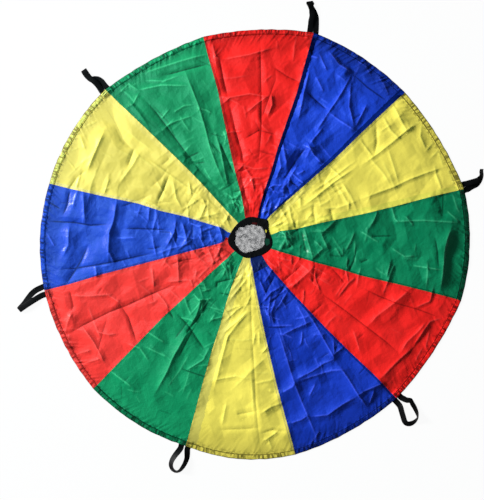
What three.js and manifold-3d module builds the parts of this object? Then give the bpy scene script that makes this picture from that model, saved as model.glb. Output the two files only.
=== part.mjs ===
// A play parachute for children, 6 ft across, spread out on the floor as it lies after unpacking.
// Twelve cloth panels in four colours meet at a round netted vent and carry six webbing hand loops at the hem.
// Lengths are in millimetres, +Z is up, and the origin is on the floor under the middle of the vent.
// Bearings are degrees anticlockwise from +X. Panels and seams are numbered like the hours of a clock.
import * as THREE from "three";
import { mergeVertices } from "three/addons/utils/BufferGeometryUtils.js";
import Module from "manifold-3d";

const wasm = await Module();
wasm.setup();

// Canopy
const SPREAD_RADIUS = 914.4; // half of 6 ft, hem to hem
const CLOTH = 1; // one layer of cloth with its folds pressed flat
const HEM_WIDTH = 21; // the edge is turned over twice and stitched down
const HEM_LAYERS = 3;
const SEAM_CLEARANCE = 0.3; // between two neighbouring panels, which are stitched together
const FOLD_RISE = 9; // how far the packing creases lift the cloth off the floor
const CREASE_PITCH = 150; // between two cross creases, along a panel
const CROSS_SHARE = 0.45; // how much of the rise the cross creases take
const FLAT_END = 0.2; // share of a panel's length over which the creases die out, at either end

// Vent
const VENT_RADIUS = 64; // clear radius inside the tape
const TAPE_WIDTH = 25;
const TAPE_THICKNESS = 1;
const PANEL_TUCK = 13; // how far the panels reach in between the two tapes
const NET_CLEARANCE = 3; // between the net's edge and the panels, inside the tapes
const NET_THICKNESS = 0.7;
const NET_PITCH = 10;
const NET_THREAD = 1.6;
const LAYER_CLEARANCE = 0.3; // between two layers that are stitched together
const ROUND_SIDES = 48;

// Hand loops
const STRAP_WIDTH = 25;
const STRAP_THICKNESS = 1.5;
const STRAP_STANDOFF = 0.3; // between the hem's edge and the strap that leaves it
const LOOP_RISE = 20; // how high a closed loop's upper strand lies above the lower one at the tip
const STRAND_SHARES = [0.12, 0.3, 0.5, 0.68, 0.84]; // stations along a closed loop's strand

// How the cloth lies, seam by seam, clockwise from 12 o'clock: the seam's bearing, how far it is drawn out as a
// share of the spread radius, and how much flatter than an arc the hem of the panel after it lies.
const LAY = [
  { bearing: 102.5, drawn: 0.967, flatter: 0.01 },
  { bearing: 73, drawn: 1.006, flatter: 0.005 },
  { bearing: 43.5, drawn: 0.995, flatter: 0.012 },
  { bearing: 13, drawn: 1.028, flatter: 0 },
  { bearing: -16.5, drawn: 1.031, flatter: 0.014 },
  { bearing: -47.5, drawn: 1.017, flatter: 0.008 },
  { bearing: -77.5, drawn: 1.036, flatter: -0.008 },
  { bearing: -107, drawn: 1.019, flatter: 0 },
  { bearing: -136, drawn: 1.018, flatter: 0.004 },
  { bearing: -166, drawn: 0.993, flatter: 0 },
  { bearing: -195.5, drawn: 0.973, flatter: 0 },
  { bearing: -226, drawn: 0.97, flatter: 0.016 },
];

// Each hand loop: the seam it is sewn to, where its tip lies outwards and aside (anticlockwise) of the seam's end,
// how late it bends aside, and how far apart its two ends are sewn. A loop that gapes lies open on the floor.
const LOOPS = [
  { hour: 1, out: 126, aside: 50, bend: 1.6, apart: 30 },
  { hour: 3, out: 86, aside: 62, bend: 3, apart: 30 },
  { hour: 5, out: 129, aside: -24, bend: 1.4, apart: 32, gape: 30 },
  { hour: 7, out: 118, aside: -14, bend: 1.5, apart: 32, gape: 28 },
  { hour: 9, out: 122, aside: 50, bend: 1.7, apart: 34 },
  { hour: 11, out: 122, aside: 18, bend: 1.5, apart: 30 },
];

const PANELS = LAY.length;
const ACROSS = 6; // facets across a panel, an even number so that one edge is the middle crease
const COLOURS = {
  red: 0xd81f26,
  blue: 0x1b3fc4,
  yellow: 0xe9df4a,
  green: 0x12885a,
};
const COLOUR_ORDER = ["red", "blue", "yellow", "green"]; // clockwise from 12 o'clock

const vector = (x, y, z) => new THREE.Vector3(x, y, z);
const radians = THREE.MathUtils.degToRad;

function cloth(colour, roughness = 0.45) {
  return new THREE.MeshStandardMaterial({ color: colour, roughness, metalness: 0 });
}

const BLACK_WEBBING = cloth(0x111114, 0.8);
const BLACK_NET = cloth(0x26262a, 0.8);

function mesh(name, geometry, material) {
  const made = new THREE.Mesh(geometry, material);
  made.name = name;
  return made;
}

// A closed slab between two grids of points, top over bottom, both indexed [row][column].
// Rows run along the slab and columns run from its right-hand side to its left, seen from above.
function slab(top, bottom) {
  const rows = top.length;
  const columns = top[0].length;
  const points = [...top.flat(), ...bottom.flat()];
  const upper = (i, j) => i * columns + j;
  const lower = (i, j) => rows * columns + i * columns + j;
  const index = [];
  const quad = (a, b, c, d) => index.push(a, b, c, a, c, d);
  for (let i = 0; i + 1 < rows; i++)
    for (let j = 0; j + 1 < columns; j++) {
      quad(upper(i, j), upper(i + 1, j), upper(i + 1, j + 1), upper(i, j + 1));
      quad(lower(i, j), lower(i, j + 1), lower(i + 1, j + 1), lower(i + 1, j));
    }
  const wall = (i, j, k, l) => quad(lower(i, j), lower(k, l), upper(k, l), upper(i, j));
  for (let i = 0; i + 1 < rows; i++) {
    wall(i, 0, i + 1, 0);
    wall(i + 1, columns - 1, i, columns - 1);
  }
  for (let j = 0; j + 1 < columns; j++) {
    wall(0, j + 1, 0, j);
    wall(rows - 1, j, rows - 1, j + 1);
  }
  const geometry = new THREE.BufferGeometry().setFromPoints(points);
  geometry.setIndex(index);
  geometry.computeVertexNormals();
  return geometry;
}

// Distance from the vent's middle to the hem, a share f of the way from seam k to the next seam clockwise.
function hemReach(k, f) {
  const here = LAY[k].drawn;
  const next = LAY[(k + 1) % PANELS].drawn;
  const drawn = THREE.MathUtils.lerp(here, next, f);
  return SPREAD_RADIUS * drawn * (1 - 4 * LAY[k].flatter * f * (1 - f));
}

function bearingAt(k, f) {
  const here = LAY[k].bearing;
  const next = LAY[(k + 1) % PANELS].bearing - (k + 1 === PANELS ? 360 : 0);
  return radians(THREE.MathUtils.lerp(here, next, f));
}

// The point on the hem's edge a share f of the way across panel k, on the floor.
function hemPoint(k, f) {
  const reach = hemReach(k, f);
  const bearing = bearingAt(k, f);
  return vector(reach * Math.cos(bearing), reach * Math.sin(bearing), 0);
}

const PANEL_START = VENT_RADIUS + TAPE_WIDTH - PANEL_TUCK;
const TAPE_EDGE = VENT_RADIUS + TAPE_WIDTH;
const SANDWICH_FLOOR = TAPE_THICKNESS + LAYER_CLEARANCE; // height of the cloth's underside between the tapes
const SANDWICH_ROOF = SANDWICH_FLOOR + CLOTH + LAYER_CLEARANCE;
const SLOPE_DOWN = 50; // from the tape's edge to where the cloth reaches the floor

const tent = (f) => 1 - Math.abs(2 * f - 1);
const triangleWave = (t) => Math.abs(2 * (t - Math.floor(t)) - 1);

// Height of panel k's underside over the floor: a crease down the middle, broken by cross creases.
function underside(k, f, r, hemStart) {
  const settle = THREE.MathUtils.clamp((TAPE_EDGE + SLOPE_DOWN - r) / SLOPE_DOWN, 0, 1);
  const along = THREE.MathUtils.clamp((r - TAPE_EDGE) / (hemStart - TAPE_EDGE), 0, 1);
  const swell = Math.min(1, along / FLAT_END, (1 - along) / FLAT_END);
  const dip = CROSS_SHARE * triangleWave((r - TAPE_EDGE) / CREASE_PITCH + k / 2);
  return SANDWICH_FLOOR * settle + FOLD_RISE * tent(f) * swell * (1 - dip);
}

// One panel with its hem. It is flat between the tapes and under the hem, and creased in between.
function panelGeometry(k) {
  const steps = Math.max(2, Math.round((hemReach(k, 0.5) - TAPE_EDGE) / (CREASE_PITCH / 2)));
  const top = [];
  const bottom = [];
  const shares = Array.from({ length: ACROSS + 1 }, (_, j) => 1 - j / ACROSS); // from its right to its left
  const addRow = (radiusAt, layers) => {
    const upper = [];
    const lower = [];
    for (const f of shares) {
      const r = radiusAt(f);
      const hemStart = hemReach(k, f) - HEM_WIDTH;
      const trim = (SEAM_CLEARANCE / 2 / r) * (f === 0 ? -1 : f === 1 ? 1 : 0);
      const bearing = bearingAt(k, f) + trim;
      const z = underside(k, f, r, hemStart);
      lower.push(vector(r * Math.cos(bearing), r * Math.sin(bearing), z));
      upper.push(vector(r * Math.cos(bearing), r * Math.sin(bearing), z + layers * CLOTH));
    }
    top.push(upper);
    bottom.push(lower);
  };
  addRow(() => PANEL_START, 1);
  addRow(() => TAPE_EDGE, 1);
  for (let i = 1; i < steps; i++)
    addRow((f) => THREE.MathUtils.lerp(TAPE_EDGE, hemReach(k, f) - HEM_WIDTH, i / steps), 1);
  addRow((f) => hemReach(k, f) - HEM_WIDTH - CLOTH, 1);
  addRow((f) => hemReach(k, f) - HEM_WIDTH, HEM_LAYERS);
  addRow((f) => hemReach(k, f), HEM_LAYERS);
  return slab(top, bottom);
}

// A flat ring of tape round the vent.
function tapeGeometry(height) {
  const corners = [
    [VENT_RADIUS, height],
    [TAPE_EDGE, height],
    [TAPE_EDGE, height + TAPE_THICKNESS],
    [VENT_RADIUS, height + TAPE_THICKNESS],
    [VENT_RADIUS, height],
  ];
  const profile = corners.map(([r, z]) => new THREE.Vector2(r, z));
  return new THREE.LatheGeometry(profile, ROUND_SIDES).rotateX(Math.PI / 2);
}

// A closed geometry as a solid that can be cut, and back.
function solidOf(geometry) {
  const bare = geometry.clone();
  bare.deleteAttribute("normal");
  bare.deleteAttribute("uv");
  const merged = mergeVertices(bare, 1e-4);
  return new wasm.Manifold(
    new wasm.Mesh({
      numProp: 3,
      vertProperties: new Float32Array(merged.attributes.position.array),
      triVerts: new Uint32Array(merged.index.array),
    }),
  );
}

function geometryOf(solid) {
  const { vertProperties, triVerts } = solid.getMesh();
  const geometry = new THREE.BufferGeometry();
  geometry.setAttribute("position", new THREE.BufferAttribute(vertProperties, 3));
  geometry.setIndex(new THREE.BufferAttribute(triVerts, 1));
  geometry.computeVertexNormals();
  return geometry;
}

// The vent's net: a disc with square gaps wherever a whole gap fits inside the tape.
function netGeometry() {
  const middle = SANDWICH_FLOOR + CLOTH / 2;
  const reach = PANEL_START - NET_CLEARANCE;
  const disc = new THREE.CylinderGeometry(reach, reach, NET_THICKNESS, ROUND_SIDES).rotateX(Math.PI / 2);
  const gap = NET_PITCH - NET_THREAD;
  const cutter = new THREE.BoxGeometry(gap, gap, 2 * NET_THICKNESS);
  const cells = Math.ceil(VENT_RADIUS / NET_PITCH);
  const cutters = [];
  for (let i = -cells; i <= cells; i++)
    for (let j = -cells; j <= cells; j++) {
      const [x, y] = [i * NET_PITCH, j * NET_PITCH];
      if (Math.hypot(Math.abs(x) + gap / 2, Math.abs(y) + gap / 2) > VENT_RADIUS) continue;
      cutters.push(solidOf(cutter.clone().translate(x, y, 0)));
    }
  const net = wasm.Manifold.difference([solidOf(disc), ...cutters]);
  return geometryOf(net).translate(0, 0, middle);
}

// A strap swept through stations, each with a middle point and the direction of the strap's width.
// Its two ends also say which way the strap runs there, so that they are cut square to the hem.
function strapGeometry(stations) {
  const top = [];
  const bottom = [];
  stations.forEach(({ point, width, runs }, i) => {
    const before = stations[Math.max(i - 1, 0)].point;
    const after = stations[Math.min(i + 1, stations.length - 1)].point;
    const along = runs ?? after.clone().sub(before).normalize();
    const side = width.clone().addScaledVector(along, -width.dot(along)).normalize();
    const up = along.clone().cross(side).normalize();
    const corner = (s, u) =>
      point
        .clone()
        .addScaledVector(side, (s * STRAP_WIDTH) / 2)
        .addScaledVector(up, (u * STRAP_THICKNESS) / 2);
    top.push([corner(-1, 1), corner(1, 1)]);
    bottom.push([corner(-1, -1), corner(1, -1)]);
  });
  return slab(top, bottom);
}

// The frame of a hand loop: the seam's end at the hem, the way outwards and the way aside, anticlockwise.
function loopFrame(k) {
  const bearing = radians(LAY[k].bearing);
  const out = vector(Math.cos(bearing), Math.sin(bearing), 0);
  const aside = vector(-Math.sin(bearing), Math.cos(bearing), 0);
  return { end: hemPoint(k, 0), out, aside };
}

// Where one end of a loop leaves the hem, on the panel to one side of the seam: the strap sets out from the
// clockwise side (-1) and comes back on the anticlockwise side (1).
function rootOn(k, side, apart) {
  const end = hemPoint(k, 0);
  const panel = side > 0 ? (k + PANELS - 1) % PANELS : k;
  const share = 1 / ACROSS;
  const next = hemPoint(panel, side > 0 ? 1 - share : share);
  const edge = next.sub(end).normalize();
  const out = vector(edge.y, -edge.x, 0).multiplyScalar(side);
  const point = end.clone().addScaledVector(edge, apart / 2);
  point.addScaledVector(out, STRAP_STANDOFF).setZ(STRAP_THICKNESS / 2);
  return { point, width: edge.multiplyScalar(side), runs: out.multiplyScalar(-side) };
}

// A loop that lies closed: one strand along the floor, a turn upwards at the tip, and one strand back above it.
function closedLoop({ hour, out, aside, bend, apart }) {
  const frame = loopFrame(hour);
  const low = rootOn(hour, -1, apart);
  const high = rootOn(hour, 1, apart);
  const turn = LOOP_RISE / 2;
  const tipShare = 1 - turn / out;
  const place = (share, side, z) => {
    const sideways = aside * share ** bend + (side * apart * (1 - share)) / 2;
    return frame.end
      .clone()
      .addScaledVector(frame.out, STRAP_STANDOFF + out * share)
      .addScaledVector(frame.aside, sideways)
      .setZ(z);
  };
  const across = (share, side) => {
    const slope = (aside * bend * share ** (bend - 1) - (side * apart) / 2) / out;
    return frame.aside.clone().addScaledVector(frame.out, -slope).normalize();
  };
  const stations = [low];
  const floor = STRAP_THICKNESS / 2;
  for (const s of STRAND_SHARES)
    stations.push({ point: place(s * tipShare, -1, floor), width: across(s * tipShare, -1) });
  for (const angle of [-90, -45, 0, 45, 90]) {
    const swing = radians(angle);
    const share = tipShare + (turn / out) * Math.cos(swing);
    const z = floor + turn + turn * Math.sin(swing);
    stations.push({ point: place(share, angle / 90, z), width: across(tipShare, angle / 90) });
  }
  for (const s of [...STRAND_SHARES].reverse()) {
    const z = floor + LOOP_RISE * THREE.MathUtils.smoothstep(s, 0, 0.9);
    stations.push({ point: place(s * tipShare, 1, z), width: across(s * tipShare, 1) });
  }
  stations.push(high);
  return strapGeometry(stations);
}

// A loop that gapes: both strands lie on the floor either side of a gap, and the strap leans on its edge at the far end.
function gapingLoop({ hour, out, aside, bend, apart, gape }) {
  const frame = loopFrame(hour);
  const roots = [rootOn(hour, -1, apart), rootOn(hour, 1, apart)];
  const place = (share, sideways, tilt) =>
    frame.end
      .clone()
      .addScaledVector(frame.out, STRAP_STANDOFF + out * share)
      .addScaledVector(frame.aside, aside * share ** bend + sideways)
      .setZ(STRAP_THICKNESS / 2 + (STRAP_WIDTH / 2) * Math.sin(radians(tilt)));
  const ring = [
    [0.12, 0.6, 8],
    [0.3, 0.88, 30],
    [0.5, 1, 48],
    [0.7, 0.9, 56],
    [0.86, 0.62, 60],
    [0.96, 0.3, 60],
  ];
  const first = apart / 2 / gape;
  const bulge = (share, spread) => gape * Math.max(spread, first * (1 - share));
  const points = [
    ...ring.map(([s, w, tilt]) => [s, -bulge(s, w), tilt]),
    [1, 0, 60],
    ...[...ring].reverse().map(([s, w, tilt]) => [s, bulge(s, w), tilt]),
  ];
  const middles = points.map(([s, sideways, tilt]) => place(s, sideways, tilt));
  const stations = [roots[0]];
  middles.forEach((point, i) => {
    const before = i ? middles[i - 1] : roots[0].point;
    const after = i + 1 < middles.length ? middles[i + 1] : roots[1].point;
    const heading = after.clone().sub(before).setZ(0).normalize();
    const inward = vector(-heading.y, heading.x, 0);
    const tilt = radians(points[i][2]);
    const width = inward.multiplyScalar(Math.cos(tilt)).setZ(Math.sin(tilt));
    stations.push({ point, width });
  });
  stations.push({ ...roots[1], width: roots[1].width.clone().negate() });
  return strapGeometry(stations);
}

const parachute = new THREE.Group();
parachute.name = "play_parachute";

const twoDigits = (hour) => String(hour).padStart(2, "0");

for (let k = 0; k < PANELS; k++) {
  const colour = COLOUR_ORDER[k % COLOUR_ORDER.length];
  const name = `panel_${twoDigits(k || PANELS)}_${colour}`;
  parachute.add(mesh(name, panelGeometry(k), cloth(COLOURS[colour])));
}
parachute.add(mesh("vent_tape_under", tapeGeometry(0), BLACK_WEBBING));
parachute.add(mesh("vent_tape_top", tapeGeometry(SANDWICH_ROOF), BLACK_WEBBING));
parachute.add(mesh("vent_net", netGeometry(), BLACK_NET));
for (const loop of LOOPS) {
  const geometry = loop.gape ? gapingLoop(loop) : closedLoop(loop);
  parachute.add(mesh(`hand_loop_${twoDigits(loop.hour)}`, geometry, BLACK_WEBBING));
}

export default parachute;
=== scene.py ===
# %% [markdown]
# # A play parachute, spread out on the floor
#
# The real thing is twelve thin nylon wedges sewn into a wheel 6 ft across, with a netted vent in the
# middle and six webbing hand loops at the hem. It has just been unpacked, so the cloth keeps its packing
# creases.
#
# The scene is built round a frame of plain solids. The frame says where every piece is and what it moves
# with, and the scene adds what the eye sees: the lie of the cloth, the stitching, the webbing and the
# finishes.

# %% Load the frame
import math

import bpy
import numpy as np
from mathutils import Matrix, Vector


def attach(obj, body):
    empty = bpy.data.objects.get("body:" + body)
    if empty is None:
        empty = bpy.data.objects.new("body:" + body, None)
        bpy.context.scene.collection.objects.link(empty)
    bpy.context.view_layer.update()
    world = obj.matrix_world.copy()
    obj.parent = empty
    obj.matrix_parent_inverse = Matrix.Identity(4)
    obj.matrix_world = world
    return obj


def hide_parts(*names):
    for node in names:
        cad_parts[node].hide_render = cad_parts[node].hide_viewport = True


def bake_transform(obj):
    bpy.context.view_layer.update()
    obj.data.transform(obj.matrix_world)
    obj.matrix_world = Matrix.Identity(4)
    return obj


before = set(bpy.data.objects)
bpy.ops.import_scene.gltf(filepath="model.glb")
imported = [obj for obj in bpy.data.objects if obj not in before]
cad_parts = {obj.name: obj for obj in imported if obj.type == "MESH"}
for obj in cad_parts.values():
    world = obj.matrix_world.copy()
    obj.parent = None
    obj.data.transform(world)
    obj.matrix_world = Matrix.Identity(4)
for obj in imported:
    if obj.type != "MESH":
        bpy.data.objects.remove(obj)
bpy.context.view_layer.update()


# %% [markdown]
# ## The camera
#
# The parachute is looked at from straight above, with 12 o'clock at the top. A camera that isn't turned
# looks down its own -Z with +Y up, so it only needs its place and its lens. From 3.5 m up, the cloth's
# few millimetres of height change nothing in the outline. A lower camera with a wider lens would lean the
# loops outwards.

# %% Put the camera above the middle of the view
MM = 0.001
CM = 0.01
CAMERA_HEIGHT = 3.5
VIEW_MIDDLE = (-0.0343, -0.0514)
VIEW_HEIGHT = 2.1415
SENSOR = 36.0

camera_data = bpy.data.cameras.new("camera")
camera_data.sensor_width = SENSOR
camera_data.lens = SENSOR * CAMERA_HEIGHT / VIEW_HEIGHT
camera_data.clip_end = 50
camera = bpy.data.objects.new("camera", camera_data)
camera.location = (*VIEW_MIDDLE, CAMERA_HEIGHT)
bpy.context.scene.collection.objects.link(camera)
bpy.context.scene.camera = camera
print(f"camera {CAMERA_HEIGHT} m up with a {camera_data.lens:.1f} mm lens")


# %% [markdown]
# ## How the wheel of cloth lies
#
# Nobody spreads a parachute perfectly. Each seam has its own bearing and is drawn out a little more or
# less than the next, so the hem is a wavy line and not a circle. Seams are numbered like the hours of a
# clock, and panel k lies between seam k and the next seam clockwise. Nor does a seam run straight:
# between vent and hem it strays a few millimetres aside. Two short tables describe this, and small
# functions read them at any place.

# %% The sizes of cloth, tape and webbing
SPREAD_RADIUS = 914.4 * MM
VENT_RADIUS = 64 * MM
TAPE_WIDTH = 25 * MM
PANEL_TUCK = 13 * MM
PANEL_START = VENT_RADIUS + TAPE_WIDTH - PANEL_TUCK
HEM_WIDTH = 21 * MM
STRAP_WIDTH = 25 * MM
STRAP_THICKNESS = 1.5 * MM
COLOURS = ["red", "blue", "yellow", "green"]

# %% How each seam lies, clockwise from 12
# (degrees anticlockwise from +X, how far it is drawn out, how much flatter than an arc the hem is)
LAY = [
    (102.5, 0.967, 0.01),
    (73, 1.006, 0.005),
    (43.5, 0.995, 0.012),
    (13, 1.028, 0),
    (-16.5, 1.031, 0.014),
    (-47.5, 1.017, 0.008),
    (-77.5, 1.036, -0.008),
    (-107, 1.019, 0),
    (-136, 1.018, 0.004),
    (-166, 0.993, 0),
    (-195.5, 0.973, 0),
    (-226, 0.97, 0.016),
]
BEARINGS, DRAWN, FLATTER = np.array(LAY).T
PANELS = len(LAY)
PANEL_ANGLE = math.radians(360 / PANELS)
# How far each seam strays clockwise of its straight line, in millimetres, at these distances from the middle
STRAY_AT = np.array([100, 130, 200, 300, 400, 500, 650, 800, 900]) * MM
STRAYS = [
    (-1, 2, 3, -1, -1, 0, 2, -7, -9),
    (5, 1, -1, 3, 1, 4, 10, 6, 4),
    (-5, -10, -8, -4, 0, 4, 2, 3, 4),
    (6, 0, 7, 5, 7, 9, 7, 2, 2),
    (19, 20, 20, 21, 18, 20, 11, 4, 1),
    (14, 21, 23, 25, 23, 21, 14, 3, 2),
    (20, 19, 22, 25, 26, 26, 24, 17, 12),
    (5, 8, 14, 16, 13, 15, 12, 7, 4),
    (7, 6, 9, 10, 12, 15, 10, 6, 2),
    (16, 9, 8, 7, 5, 4, 2, -5, -5),
    (-1, 10, 11, 14, 9, 14, 4, -3, -5),
    (9, 8, 10, 13, 13, 10, 5, -2, -4),
]

# %% Places on the seams and on the hem


def from_polar(r, bearing):
    """x and y of a place at this distance and bearing from the vent's middle."""
    return r * np.cos(bearing), r * np.sin(bearing)


def hour(k):
    return f"{k or PANELS:02d}"


def panel_name(k):
    return f"panel_{hour(k)}_{COLOURS[k % len(COLOURS)]}"


def hem_reach(k, f):
    """Distance from the vent's middle to the hem's edge, a share f of the way across panel k."""
    drawn = DRAWN[k] * (1 - f) + DRAWN[(k + 1) % PANELS] * f
    return SPREAD_RADIUS * drawn * (1 - 4 * FLATTER[k] * f * (1 - f))


def seam_bearing(k, r):
    """Bearing of seam k, in radians, where it is r from the middle. Seam 12 is seam 0 once more round."""
    stray = np.interp(r, STRAY_AT, np.array(STRAYS[k % PANELS]) * MM)
    return np.radians(BEARINGS[k % PANELS] - 360 * (k // PANELS)) - stray / np.maximum(r, STRAY_AT[0])


def bearing_at(k, f, r=None):
    """Bearing a share f of the way across panel k at radius r, or at the hem's edge."""
    r = hem_reach(k, f) if r is None else r
    return seam_bearing(k, r) * (1 - f) + seam_bearing(k + 1, r) * f


def hem_point(k, f):
    """The place on the hem's edge a share f of the way across panel k."""
    return Vector((*from_polar(hem_reach(k, f), bearing_at(k, f)), 0))


hem_length = sum((hem_point(k, 1) - hem_point(k, 0)).length for k in range(PANELS))
print(f"{PANELS} panels; the hem is about {hem_length:.2f} m round")


# %% [markdown]
# ## Crumple: a height that is made of flat facets
#
# Thin coated nylon doesn't roll like wool. It breaks into small flat facets with sharp edges between
# them, as foil or paper does. A cloth simulation could find such facets, but only on a mesh far finer
# than can be run in reasonable time, and they would not lie where they lie on this one. So the height is
# a function of the place: random heights at the corners of a triangle lattice, joined by flat triangles.
# The lattice is warped a little first, so that no two facets are alike. A smooth version of the same idea
# gives soft swells.

# %% Random heights on a lattice, joined flat or smoothly
TABLE_SIZE = 256
LATTICE_SKEW = (math.sqrt(3) - 1) / 2  # turns squares into pairs of even triangles


def fade(t):
    """0 below 0, 1 above 1, and a smooth step between."""
    t = np.clip(t, 0, 1)
    return t * t * (3 - 2 * t)


def corner_heights(seed, i, j):
    """The lattice's random heights at the corners (i, j), (i + 1, j), (i, j + 1) and (i + 1, j + 1)."""
    table = np.random.default_rng(seed).uniform(-1, 1, (TABLE_SIZE, TABLE_SIZE))
    return [table[(i + right) % TABLE_SIZE, (j + up) % TABLE_SIZE] for up in (0, 1) for right in (0, 1)]


def swell(x, y, pitch, seed):
    """A soft random height from -1 to 1, with hills about one pitch apart."""
    u = np.asarray(x / pitch + 0.37 * seed)
    v = np.asarray(y / pitch - 0.71 * seed)
    i = np.floor(u).astype(int)
    j = np.floor(v).astype(int)
    here, right, above, beyond = corner_heights(seed, i, j)
    a = fade(u - i)
    b = fade(v - j)
    return (here * (1 - a) + right * a) * (1 - b) + (above * (1 - a) + beyond * a) * b


def facets(x, y, pitch, seed, warp=0.35):
    """A random height from -1 to 1 made of flat triangles about one pitch wide."""
    u = (x + warp * pitch * swell(x, y, 1.3 * pitch, seed + 1)) / pitch
    v = (y + warp * pitch * swell(x, y, 1.3 * pitch, seed + 2)) / pitch
    skew = (u + v) * LATTICE_SKEW
    i = np.floor(u + skew).astype(int)
    j = np.floor(v + skew).astype(int)
    here, right, above, beyond = corner_heights(seed, i, j)
    a = u + skew - i
    b = v + skew - j
    lower = here * (1 - a) + right * (a - b) + beyond * b
    upper = here * (1 - b) + above * (b - a) + beyond * a
    return np.where(a > b, lower, upper)


def folded(x, y, pitch, seed):
    """Facets folded over at their middle height, which makes sharp valleys between them."""
    return 2 * np.abs(facets(x, y, pitch, seed, 0.3)) - 1


places = np.array([0.1, 0.2, 0.3])
print("facet heights at three places:", facets(places, places - 0.1, 0.05, 4))
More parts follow.
